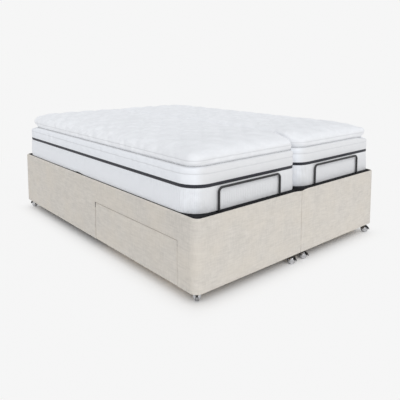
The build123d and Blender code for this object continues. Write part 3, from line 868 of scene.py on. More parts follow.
@dataclass(frozen=True)
class Outline:
    """A rectangle with rounded corners, seen from above, with set stops along its sides.

    Args:
        low: Its lowest X and Y.
        high: Its highest X and Y.
        radii: The corners' radii, counter-clockwise from the lowest corner.
        stops_x: X of the stops along both sides that run along X.
        stops_y: Y of the stops along the other two.
        arc_steps: Steps to a corner.
    """

    low: tuple[float, float]
    high: tuple[float, float]
    radii: tuple[float, float, float, float]
    stops_x: tuple[float, ...]
    stops_y: tuple[float, ...]
    arc_steps: int = 12

    def loop(self, inset: float = 0.0) -> tuple[np.ndarray, np.ndarray]:
        """The outline's points, drawn in by an inset.

        Args:
            inset: How far it is drawn in.

        Returns:
            The points and their outward directions, counter-clockwise from the lowest corner.
        """
        (x0, y0), (x1, y1) = self.low, self.high
        corners = ((x0, y0, -1, -1), (x1, y0, 1, -1), (x1, y1, 1, 1), (x0, y1, -1, 1))
        sides = (((0.0, -1.0), [(x, y0) for x in self.stops_x]),
                 ((1.0, 0.0), [(x1, y) for y in self.stops_y]),
                 ((0.0, 1.0), [(x, y1) for x in reversed(self.stops_x)]),
                 ((-1.0, 0.0), [(x0, y) for y in reversed(self.stops_y)]))
        points: list[tuple[float, float]] = []
        ways: list[tuple[float, float]] = []
        starts = (math.pi, 1.5 * math.pi, 0.0, 0.5 * math.pi)
        for (x, y, out_x, out_y), radius, start, (way, stops) in zip(corners, self.radii, starts, sides):
            reach, rest = radius + max(inset - radius, 0.0), max(radius - inset, 0.0)
            for step in range(self.arc_steps + 1):
                angle = start + 0.5 * math.pi * step / self.arc_steps
                turn = (math.cos(angle), math.sin(angle))
                points.append((x - out_x * reach + rest * turn[0], y - out_y * reach + rest * turn[1]))
                ways.append(turn)
            points.extend((x - way[0] * inset, y - way[1] * inset) for x, y in stops)
            ways.extend([way] * len(stops))
        return np.array(points), np.array(ways)


def spread(low: float, high: float, step: float, fixed: Sequence[float] = ()) -> list[float]:
    """Even stops between two ends, with some set ones among them.

    Args:
        low: The lower end, which isn't a stop.
        high: The upper end, which isn't a stop.
        step: The widest spacing.
        fixed: Stops that have to be there.

    Returns:
        The stops, rising.
    """
    ends = [low, *sorted(fixed), high]
    stops: list[float] = []
    for start, end in zip(ends, ends[1:]):
        count = max(1, math.ceil((end - start) / step - 1e-9))
        stops.extend(start + (end - start) * place / count for place in range(1, count + 1))
    return stops[:-1]


# Mattress ------------------------


@dataclass(frozen=True)
class Fold:
    """One length of a mattress, which bends between two bodies of the deck.

    Args:
        word: The length's name.
        low: Its lowest Y.
        high: Its highest Y.
        near: The body that it follows at the start of the bend; not used.
        far: The body that it follows at the end; not used.
        start: Y of the start; not used.
        end: Y of the end; not used.
    """

    word: str
    low: float
    high: float
    near: str
    far: str
    start: float
    end: float


@dataclass
class Swelling:
    """Cloth physics that blows up a closed cover, held where it is sewn, and caps how far it goes.

    Args:
        pressure: The air's push.
        frames: How long it blows.
        cap: The furthest that a point may go.
        quality: Steps to a frame.
        mass: Weight of a point.
        stiffness: Resistance to stretch and squeeze.
        bending: Resistance to bending.
        shrink: How much smaller the cloth is sewn, below 0 for larger.
        hold_steps: Steps between free and held.
    """

    pressure: float = 4.0
    frames: int = 20
    cap: float = 0.006
    quality: int = 4
    mass: float = 0.25
    stiffness: float = 12.0
    bending: float = 0.6
    shrink: float = -0.012
    hold_steps: int = 10

    def run(self, cover: bpy.types.Object, held: np.ndarray) -> None:
        """Simulate and keep the result in the mesh.

        Args:
            cover: The closed cover.
            held: How firmly each point is held, from 0 to 1.
        """
        scene = bpy.context.scene
        group = cover.vertex_groups.new(name="held")
        for level in range(self.hold_steps + 1):
            members = np.nonzero(np.round(held * self.hold_steps) == level)[0]
            if len(members):
                group.add([int(number) for number in members], level / self.hold_steps, "REPLACE")
        cloth = cover.modifiers.new("Swelling", "CLOTH")
        options = cloth.settings
        options.quality = self.quality
        options.mass = self.mass
        options.tension_stiffness = options.compression_stiffness = self.stiffness
        options.bending_stiffness = self.bending
        options.use_pressure = True
        options.uniform_pressure_force = self.pressure
        options.effector_weights.gravity = 0.0
        options.vertex_group_mass = group.name
        options.shrink_min = self.shrink
        cloth.point_cache.frame_start = 1
        cloth.point_cache.frame_end = self.frames
        rest = coordinates(cover.data)
        for number in range(1, self.frames + 1):
            scene.frame_set(number)
        graph = bpy.context.evaluated_depsgraph_get()
        swollen = coordinates(cover.evaluated_get(graph).data)
        cover.modifiers.remove(cloth)
        cover.vertex_groups.remove(group)
        scene.frame_set(1)
        moved = swollen - rest
        length = np.linalg.norm(moved, axis=1, keepdims=True)
        moved *= np.minimum(1.0, self.cap / np.maximum(length, 1e-9))
        log.info("%s swells %.1f mm at most", cover.name, 1000.0 * float(np.minimum(length, self.cap).max()))
        move_points(cover.data, rest + moved)


@dataclass
class Mattress:
    """A pillow-top mattress: bordered body, dark tape, drawn-in neck and quilted pillow top.

    Rises are heights over its lower edge, and insets are measured in from its outline.

    Args:
        hand: The half of the bed that it lies on.
        corner: Radius of the corner at low X and the head, and the margin of the top's even grid.
        foot_corner: Radius of the corner at low X and the foot.
        tight_corner: Radius of the left mattress's two corners at high X.
        right_tight_corner: Radius of the right mattress's.
        border_height: Rise of the border's top edge.
        tape_rise: Rise of the tape's middle.
        tape_height: Height of the tape.
        tape_proud: How far the tape stands out.
        tape_inset: Inset of the cover behind the tape.
        fold_rise: Rise of the crease above the tape.
        neck_rise: Rise of the seam that joins the pillow top.
        neck_depth: Inset of that seam.
        cord: Radius of the cord over it.
        cord_inset: Inset of the cord.
        crown_rise: Rise of the top's middle.
        neck_tuck: How far the left pillow top's outer corner turns in at the neck.
        nose_tuck: How far it turns in at its nose.
        border_sag: How far the left border's top edge sinks at its outer corner.
        tight_sag: How far the right one sinks at its outer corners.
        nose_rise: Rise of the pillow top's widest part.
        near_pillow_corner: Radius of the left pillow top's near corner.
        neck_corner: Radius of the right pillow top's outer corners at the neck.
        shoulder_drop: (inset, fall from the crown) of the top's outer shoulders.
        facing_drop: The same where the two mattresses meet.
        step: Spacing of the points.
        diamond: Size of the quilting's diamonds.
        quilt_depth: Depth of its stitch lines.
        seat_join: Y of the cut between back and seat.
        thigh_join: Y of the cut between seat and calf.
        back_bend: Y where the back length starts to bend.
        calf_bend: Y where the calf length starts to bend.
        rim_ease: How much less the underside is hollowed over the rim than over the boards.
        toe_length: Length of the turned-up edge at the foot.
        toe_rise: How far it turns up.
        toe_height: Height over which the turn-up dies away.
        swelling: How the cover is blown up.
    """

    hand: Hand
    corner: float = 0.120
    foot_corner: float = 0.112
    tight_corner: float = 0.046
    right_tight_corner: float = 0.028
    border_height: float = BORDER_RISE
    tape_rise: float = TAPE_RISE
    tape_height: float = 0.0165
    tape_proud: float = 0.0016
    tape_inset: float = 0.0052
    fold_rise: float = FOLD_RISE
    neck_rise: float = 0.2225
    neck_depth: float = 0.0175
    cord: float = 0.0018
    cord_inset: float = 0.0150
    crown_rise: float = 0.3190
    neck_tuck: float = 0.048
    nose_tuck: float = 0.006
    border_sag: float = 0.016
    tight_sag: float = 0.009
    nose_rise: float = 0.256
    near_pillow_corner: float = 0.072
    neck_corner: float = 0.085
    shoulder_drop: tuple[tuple[float, float], ...] = ((0.030, 0.0430), (0.042, 0.0355), (0.057, 0.0280),
                                                      (0.076, 0.0210), (0.097, 0.0152), (0.12, 0.0105))
    facing_drop: tuple[tuple[float, float], ...] = ((0.020, 0.0105), (0.034, 0.0080), (0.052, 0.0062),
                                                    (0.076, 0.0048), (0.12, 0.0036))
    step: float = 0.017
    diamond: float = 0.150
    quilt_depth: float = 0.0035
    seat_join: float = 0.040
    thigh_join: float = -0.220
    back_bend: float = 0.490
    calf_bend: float = -0.530
    rim_ease: float = 0.004
    toe_length: float = 0.042
    toe_rise: float = 0.0126
    toe_height: float = 0.045
    swelling: Swelling = field(default_factory=Swelling)

    def __post_init__(self) -> None:
        """Take the mattress's box from its sections in the frame."""
        word = self.hand.word
        boxes = [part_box(f"mattress_{part}_{word}") for part in ("back", "thigh", "calf")]
        low = Vector([min(box[0][axis] for box in boxes) for axis in range(3)])
        high = Vector([max(box[1][axis] for box in boxes) for axis in range(3)])
        self.low, self.high = low, high
        deck_low, deck_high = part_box(f"back_board_{word}")
        self.deck_low, self.deck_high = deck_low.x, deck_high.x
        self.back_hinge = joint(f"back_hinge_{word}")
        self.thigh_hinge = joint(f"thigh_hinge_{word}")
        self.tight = self.tight_corner if self.hand is Hand.LEFT else self.right_tight_corner
        radii = (self.foot_corner, self.tight, self.tight, self.corner)
        self.grid_x = [low.x + self.corner, *spread(low.x + self.corner, high.x - self.corner, self.step),
                       high.x - self.corner]
        self.grid_y = [low.y + self.corner, *spread(low.y + self.corner, high.y - self.corner, self.step),
                       high.y - self.corner]
        self.outline = Outline((low.x, low.y), (high.x, high.y), radii, tuple(self.grid_x[1:-1]),
                               tuple(self.grid_y[1:-1]), arc_steps=11)
        self.folds = (
            Fold("back", self.seat_join, high.y + 1.0, f"back_{word}", "base", self.back_bend,
                 self.seat_join),
            Fold("seat", self.thigh_join, self.seat_join, "base", f"thigh_{word}", self.seat_join,
                 self.thigh_join),
            Fold("calf", low.y - 1.0, self.thigh_join, f"thigh_{word}", f"calf_{word}", self.thigh_join,
                 self.calf_bend),
        )

    def relief(self, along: np.ndarray, over_rim: bool) -> np.ndarray:
        """How far the underside is hollowed so that a bend doesn't press it through the deck.

        Args:
            along: Y of the points.
            over_rim: Whether they lie over the fixed rim, where only the seat needs it.

        Returns:
            The rise of the underside.
        """
        back_y, axis_z = self.back_hinge["pos_m"][1:]
        thigh_y = self.thigh_hinge["pos_m"][1]
        back_swing = math.radians(self.back_hinge["range_deg"][1])
        thigh_swing = math.radians(self.thigh_hinge["range_deg"][1])
        height = self.low.z - axis_z
        share_back = smoothstep((self.back_bend - along) / (self.back_bend - self.seat_join))
        share_thigh = smoothstep((self.seat_join - along) / (self.seat_join - self.thigh_join))
        on_back_length = along > self.seat_join
        hinge = np.where(on_back_length, back_y, thigh_y)
        swing = np.where(on_back_length, back_swing, thigh_swing)
        lifted = np.where(on_back_length, 1.0 - share_back, share_thigh)
        over_seat = (along < back_y) & (along > thigh_y)
        turn = np.where(over_seat, lifted, 1.0 - lifted) * swing
        rise = (height + np.abs(along - hinge) * np.sin(turn)) / np.cos(turn) - height
        rise = np.where((along < self.thigh_join) | (along > self.back_bend), 0.0, rise)
        if over_rim:
            fade = smoothstep((back_y + 0.02 - along) / 0.03) * smoothstep((along - thigh_y + 0.02) / 0.03)
            return np.maximum(0.0, rise - self.rim_ease) * fade
        return rise + 0.0015 * smoothstep(rise / 0.003)

    def facing(self, ring: np.ndarray, ways: np.ndarray) -> np.ndarray:
        """How far each point of a loop belongs to the side that meets the other mattress.

        Args:
            ring: The loop's points.
            ways: Their outward directions.

        Returns:
            Shares from 0 to 1, fading out before the corners.
        """
        inner = smoothstep(-ways[:, 0] * self.hand.value * 1.4 - 0.2)
        from_end = np.minimum(ring[:, 1] - self.low.y, self.high.y - ring[:, 1]) - self.tight
        return inner * smoothstep(from_end / (self.corner - self.tight))

    def side_rows(self) -> list[np.ndarray]:
        """Loops of points up the sides, from the lower edge to where the flat of the top begins.

        Returns:
            The loops, each with X, Y and rise.
        """
        low_tape, high_tape = self.tape_rise - 0.5 * self.tape_height, self.tape_rise + 0.5 * self.tape_height
        top, neck = self.border_height, self.neck_rise
        rows = [(0.0030, 0.0), (0.0018, 0.0010), (0.0014, 0.0045)]
        for share in (0.12, 0.25, 0.38, 0.5, 0.62, 0.75, 0.88):
            rows.append((0.0014 + 0.0034 * share - 0.0012 * math.sin(math.pi * share),
                         0.0045 + share * (low_tape - 0.0045)))
        rows += [(self.tape_inset, low_tape), (0.0055, self.tape_rise), (self.tape_inset, high_tape)]
        for share in (0.3, 0.6):
            rows.append((0.0050 - 0.0020 * math.sin(math.pi * share),
                         high_tape + share * (self.fold_rise - high_tape)))
        rows.append((0.0056, self.fold_rise))
        for share in (0.35, 0.7):
            rows.append((0.0052 - 0.0016 * math.sin(math.pi * share),
                         self.fold_rise + share * (top - 0.006 - self.fold_rise)))
        rows += [(0.0050, top - 0.006), (0.0072, top - 0.0015), (0.0120, top + 0.0012),
                 (self.neck_depth, top + 0.0035), (self.neck_depth, neck + 0.0030), (0.0145, neck + 0.0055)]
        plain = [(*row, *row) for row in rows]
        shoulder = [(0.0140, 0.2320, 0.0080, 0.2330), (0.0125, 0.2390, 0.0050, 0.2420),
                    (0.0124, 0.2435, 0.0036, 0.2540), (0.0136, 0.2460, 0.0036, 0.2660),
                    (0.0152, ROLL_RISE, 0.0040, 0.2770), (0.0158, 0.2535, 0.0052, 0.2870),
                    (0.0188, 0.2620, 0.0080, 0.2950), (0.0240, 0.2700, 0.0130, 0.3015),
                    (0.0310, 0.2770, 0.0210, 0.3055)]
        loops = []
        for inset, rise, facing_inset, facing_rise in plain + shoulder:
            place, share, sag = self.drawn_in(inset, facing_inset, rise)
            loops.append(np.column_stack([place, rise + (facing_rise - rise) * share - sag]))
        for inset, facing_inset in ((0.042, 0.034), (0.057, 0.052), (0.076, 0.076), (0.097, 0.097),
                                    (self.corner, self.corner)):
            place, _, _ = self.drawn_in(inset, facing_inset, self.crown_rise)
            loops.append(np.column_stack([place, self.top_rise(place[:, 0], place[:, 1])]))
        return loops

    def corners(self, rise: float) -> tuple[float, float, float, float]:
        """The radii of the four corners at one height, where the pillow top's own differ from the border's.

        Args:
            rise: The height over the lower edge.

        Returns:
            The radii, in the outline's order.
        """
        radii = list(self.outline.radii)
        share = float(smoothstep((rise - self.border_height - 0.0035) / 0.012))
        if self.hand is Hand.LEFT:
            radii[0] += share * (self.near_pillow_corner - radii[0])
        elif self.border_height < rise < self.nose_rise:
            radii[1] = radii[2] = float(np.interp(rise, (self.neck_rise, self.nose_rise),
                                                  (self.neck_corner, self.tight)))
        return radii[0], radii[1], radii[2], radii[3]

    def outer_corner(self, ring: np.ndarray) -> np.ndarray:
        """How near each point of a loop is to a corner where the pillow top stands back from the border.

        Args:
            ring: The loop's points, as they lie without an inset.

        Returns:
            Shares from 0 to 1, full in the middle of the corner and fading out along its sides.
        """
        at_left = self.hand is Hand.LEFT
        side = self.low.x if at_left else self.high.x
        ends = (self.high.y,) if at_left else (self.low.y, self.high.y)
        away = np.min([np.hypot(ring[:, 0] - side, ring[:, 1] - end) for end in ends], axis=0)
        return 1.0 - smoothstep((away / (self.corner if at_left else self.tight) - 0.41) / 1.35)

    def tuck(self, rise: float) -> float:
        """How far the left pillow top's outer corner turns in, most at the neck and hardly at its nose.

        Args:
            rise: The height over the lower edge.

        Returns:
            The extra inset in the middle of the corner.
        """
        if self.hand is Hand.RIGHT or rise < self.border_height or rise >= self.crown_rise:
            return 0.0
        return float(np.interp(rise, (self.neck_rise, self.nose_rise), (self.neck_tuck, self.nose_tuck)))

    def sag(self, rise: float) -> float:
        """How far the top edge of the border sinks at the outer corners.

        Args:
            rise: The height over the lower edge.

        Returns:
            The fall in the middle of the corner.
        """
        rises = (self.fold_rise, self.border_height - 0.002, self.border_height + 0.004,
                 self.neck_rise + 0.003, self.nose_rise)
        fall = self.border_sag if self.hand is Hand.LEFT else self.tight_sag
        return fall * float(np.interp(rise, rises, (0.0, 1.0, 1.0, 0.3, 0.0)))

    def drawn_in(self, inset: float, facing_inset: float,
                 rise: float) -> tuple[np.ndarray, np.ndarray, np.ndarray]:
        """The outline drawn in by one inset, and by another where it meets the other mattress.

        Args:
            inset: The inset.
            facing_inset: The inset of the side that meets the other mattress.
            rise: The height over the lower edge, on which the form of the corners depends.

        Returns:
            The points, how far each belongs to that side, and how far each sinks.
        """
        outline = replace(self.outline, radii=self.corners(rise))
        ring, ways = outline.loop(inset)
        near, _ = outline.loop(facing_inset)
        share = self.facing(ring, ways)
        outer = self.outer_corner(self.outline.loop()[0])
        place = ring + (near - ring) * share[:, None] - ways * (self.tuck(rise) * outer)[:, None]
        return place, share, self.sag(rise) * outer

    def top_rise(self, x: np.ndarray, y: np.ndarray) -> np.ndarray:
        """How high the crowned top lies over the lower edge.

        Args:
            x: X of the points.
            y: Y of the points.

        Returns:
            The rises: low at the shoulders, and nearly full height where the two mattresses meet.
        """
        sides = [x - self.low.x, self.high.x - x, y - self.low.y, self.high.y - y]
        to_other = sides.pop(1 if self.hand is Hand.LEFT else 0)
        inset = sum(np.maximum(side, 0.02) ** -3.0 for side in sides) ** (-1.0 / 3.0)
        far = 0.0105 * np.exp(-(inset - 0.12) / 0.13)
        drop = np.where(inset > 0.12, far, np.interp(inset, *zip(*self.shoulder_drop)))
        far = 0.0036 * np.exp(-(to_other - 0.12) / 0.10)
        facing_drop = np.where(to_other > 0.12, far, np.interp(to_other, *zip(*self.facing_drop)))
        return self.crown_rise - (drop ** 4.0 + facing_drop ** 4.0) ** 0.25

    def quilt(self, x: np.ndarray, y: np.ndarray) -> tuple[np.ndarray, np.ndarray]:
        """The sewn diamonds of the pillow top.

        Args:
            x: X of the points.
            y: Y of the points.

        Returns:
            How near each point is to a stitch line, and to a crossing, both from 0 to 1.
        """
        u = (x - 0.5 * (self.low.x + self.high.x)) / self.diamond
        v = (y - self.low.y) / (1.25 * self.diamond)
        first = np.abs((u + v) - np.round(u + v)) * self.diamond * 0.707
        second = np.abs((u - v) - np.round(u - v)) * self.diamond * 0.707
        line = np.exp(-((np.minimum(first, second) / 0.0095) ** 2))
        crossing = np.exp(-((np.hypot(first, second) / 0.018) ** 2))
        return line, crossing

    def cover(self) -> bpy.types.Object:
        """Make the whole closed cover, before it swells.

        Returns:
            The cover as one object.
        """
        body = Form()
        rows = []
        for inset in (self.corner, 0.070, 0.0225 if self.hand is Hand.LEFT else 0.0105):
            ring, _ = self.outline.loop(inset)
            rows.append(body.add([(x, y, self.low.z) for x, y in ring]))
        for loop in self.side_rows():
            rows.append(body.add([(x, y, self.low.z + rise) for x, y, rise in loop]))
        for first, second in zip(rows, rows[1:]):
            body.bridge(first, second)
        across, along = np.meshgrid(self.grid_x, self.grid_y)
        for heights in (np.zeros_like(across), self.top_rise(across, along)):
            lines = [body.add(np.column_stack([xs, ys, self.low.z + zs]))
                     for xs, ys, zs in zip(across, along, heights)]
            for first, second in zip(lines, lines[1:]):
                body.bridge(first, second, closed=False)
        made = body.piece(f"mattress_{self.hand.word}", TICKING, sharp=180.0, merge=2e-4)
        self.shape(made)
        return made

    def off_deck(self, place: np.ndarray) -> np.ndarray:
        """How far points lie beyond the boards' long edges, over the fixed rim.

        Args:
            place: The points.

        Returns:
            The distance of each, below 0 over the boards.
        """
        half = 0.5 * (self.deck_high - self.deck_low)
        middle = 0.5 * (self.deck_high + self.deck_low)
        return np.abs(place[:, 0] - middle) - half

    def toe(self, place: np.ndarray, rise: np.ndarray) -> np.ndarray:
        """How far the lower edge turns up over the rim at the foot, where the raised calf section dips.

        Args:
            place: The points.
            rise: Their heights over the lower edge.

        Returns:
            The rise of each.
        """
        over_rim = smoothstep((self.off_deck(place) + 0.006) / 0.006)
        share = np.clip((self.low.y + self.toe_length - place[:, 1]) / self.toe_length, 0.0, 1.0)
        return self.toe_rise * over_rim * share * np.clip(1.0 - rise / self.toe_height, 0.0, 1.0)

    def shape(self, cover: bpy.types.Object) -> None:
        """Sew the quilting into the top and hollow the underside.

        Args:
            cover: The plain cover.
        """
        place = coordinates(cover.data)
        rise = place[:, 2] - self.low.z
        edge = np.minimum(np.minimum(place[:, 0] - self.low.x, self.high.x - place[:, 0]),
                          np.minimum(place[:, 1] - self.low.y, self.high.y - place[:, 1]))
        line, crossing = self.quilt(place[:, 0], place[:, 1])
        fold_seam_shade_and_dent = smoothstep((edge - 0.045) / 0.04) * (rise > self.neck_rise)
        place[:, 2] -= fold_seam_shade_and_dent * self.quilt_depth * (line + 0.5 * crossing)
        under = rise < 0.0050
        hollow = under & (self.off_deck(place) < 0.0008)
        place[:, 2] += np.where(hollow, self.relief(place[:, 1], False), 0.0)
        place[:, 2] += np.where(under & ~hollow, self.relief(place[:, 1], True), 0.0)
        place[:, 2] += self.toe(place, rise)
        move_points(cover.data, place)

    def held(self, cover: bpy.types.Object) -> np.ndarray:
        """How firmly each point of the cover is sewn or rests.

        Args:
            cover: The cover.

        Returns:
            Weights from 0 to 1.
        """
        place = coordinates(cover.data)
        rise = place[:, 2] - self.low.z
        line, crossing = self.quilt(place[:, 0], place[:, 1])
        weight = np.where(rise > 0.290, np.clip(0.9 * line + crossing, 0.0, 1.0), 0.0)
        for seam in (0.0, self.tape_rise, self.neck_rise):
            weight = np.where(np.abs(rise - seam) < 0.011, 1.0, weight)
        facing = -self.hand.value * (place[:, 0] - 0.5 * (self.low.x + self.high.x)) \
            > 0.5 * (self.high.x - self.low.x) - 0.012
        return np.where(facing, 1.0, weight)

    def length(self, shape: bmesh.types.BMesh, fold: Fold, name: str, finish: Finish) -> bpy.types.Object:
        """Take one closed length out of a cut shape, with the shading that it had there.

        Args:
            shape: The whole shape, cut at the folds.
            fold: The length.
            name: The whole piece's name.
            finish: Its finish.

        Returns:
            The length, linked to the scene.
        """
        faces = [face for face in shape.faces if fold.low < face.calc_center_median().y < fold.high]
        numbers: dict[int, int] = {}
        for face in faces:
            for vertex in face.verts:
                numbers.setdefault(vertex.index, len(numbers))
        mesh = bpy.data.meshes.new(f"{name}_{fold.word}")
        mesh.from_pydata([shape.verts[number].co for number in numbers], [],
                         [[numbers[vertex.index] for vertex in face.verts] for face in faces])
        closed = bmesh.new()
        closed.from_mesh(mesh)
        rims = [edge for edge in closed.edges if edge.is_boundary]
        bmesh.ops.triangulate(closed, faces=bmesh.ops.holes_fill(closed, edges=rims, sides=0)["faces"])
        closed.to_mesh(mesh)
        closed.free()
        mesh.materials.append(finish.material())
        piece = bpy.data.objects.new(mesh.name, mesh)
        bpy.context.scene.collection.objects.link(piece)
        mesh.polygons.foreach_set("use_smooth", [True] * len(mesh.polygons))
        mesh.normals_split_custom_set_from_vertices([shape.verts[number].normal for number in numbers])
        return piece

    def lengths(self, whole: bpy.types.Object, finish: Finish, filled: bool) -> list[bpy.types.Object]:
        """Cut a finished mesh at the folds and keep its shading across the cuts.

        Args:
            whole: The whole piece, which is removed.
            finish: Its finish.
            filled: Whether the lengths are padded pieces that stand for the frame's sections.

        Returns:
            The lengths.
        """
        shape = bmesh.new()
        shape.from_mesh(whole.data)
        for cut in (self.seat_join, self.thigh_join):
            bmesh.ops.bisect_plane(shape, geom=[*shape.verts, *shape.edges, *shape.faces], dist=1e-6,
                                   plane_co=(0.0, cut, 0.0), plane_no=(0.0, 1.0, 0.0))
        shape.normal_update()
        shape.verts.ensure_lookup_table()
        made = []
        for fold in self.folds:
            piece = self.length(shape, fold, whole.name, finish)
            if filled:
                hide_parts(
                    f"mattress_{'thigh' if fold.word == 'seat' else fold.word}_{self.hand.word}")
                if fold.word == "seat" and self.hand is Hand.LEFT:
                    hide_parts("mattress_seats")
            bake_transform(piece)
            made.append(piece)
        shape.free()
        bpy.data.objects.remove(whole)
        return made

    def band(self, name: str, finish: Finish, section: Sequence[tuple[float, float]]) -> bpy.types.Object:
        """A band sewn round the mattress.

        Args:
            name: Its name.
            finish: Its finish.
            section: Its section as (inset, rise) points, a loop.

        Returns:
            The whole band.
        """
        body = Form()
        rings = []
        middle = sum(rise for _, rise in section) / len(section)
        for inset, rise in section:
            loop, _, sag = self.drawn_in(inset, inset, middle)
            rings.append(np.column_stack([loop, self.low.z + rise - sag]))
        body.loft(rings, caps=False, joined=True)
        return body.piece(f"{name}_{self.hand.word}", finish, sharp=60.0)

    def build(self) -> None:
        """Make the cover, swell it, sew on its bands and cut everything at the folds."""
        cover = self.cover()
        self.swelling.run(cover, self.held(cover))
        place = coordinates(cover.data)
        place[:, 0] = np.clip(place[:, 0], self.low.x, self.high.x)
        place[:, 1] = np.clip(place[:, 1], self.low.y, self.high.y)
        place[:, 2] = np.minimum(place[:, 2], self.high.z)
        move_points(cover.data, place)
        smooth = cover.modifiers.new("Smoothing", "SUBSURF")
        smooth.levels = smooth.render_levels = 1
        settle(cover, 180.0)
        self.lengths(cover, TICKING, True)
        half, lip = 0.5 * self.tape_height, self.tape_proud
        lower = [(self.tape_inset + 0.0018, 0.001 - half), (self.tape_inset - 0.5 * lip, -half),
                 (self.tape_inset - lip, 0.0015 - half)]
        upper = [(inset, -rise) for inset, rise in reversed(lower)]
        tape = self.band("mattress_tape", TAPE, [
            (inset, self.tape_rise + rise) for inset, rise in (*lower, (self.tape_inset - lip, 0.0), *upper)])
        self.lengths(tape, TAPE, False)
        seam_rise = self.neck_rise - 0.0005
        seam = self.band("mattress_seam", SEAM_CORD, [
            (self.cord_inset + self.cord * math.cos(a), seam_rise + self.cord * math.sin(a))
            for a in (2.0 * math.pi * step / 8.0 for step in range(8))])
        self.lengths(seam, SEAM_CORD, False)
        log.info("%s mattress made", self.hand.word)


# Upholstered boxes ------------------------


@dataclass(frozen=True)
class Opening:
    """The drawer's opening in the outer side.

    Args:
        low: Y of its end towards the foot.
        high: Y of its other end.
        top: Z of its top.
    """

    low: float
    high: float
    top: float


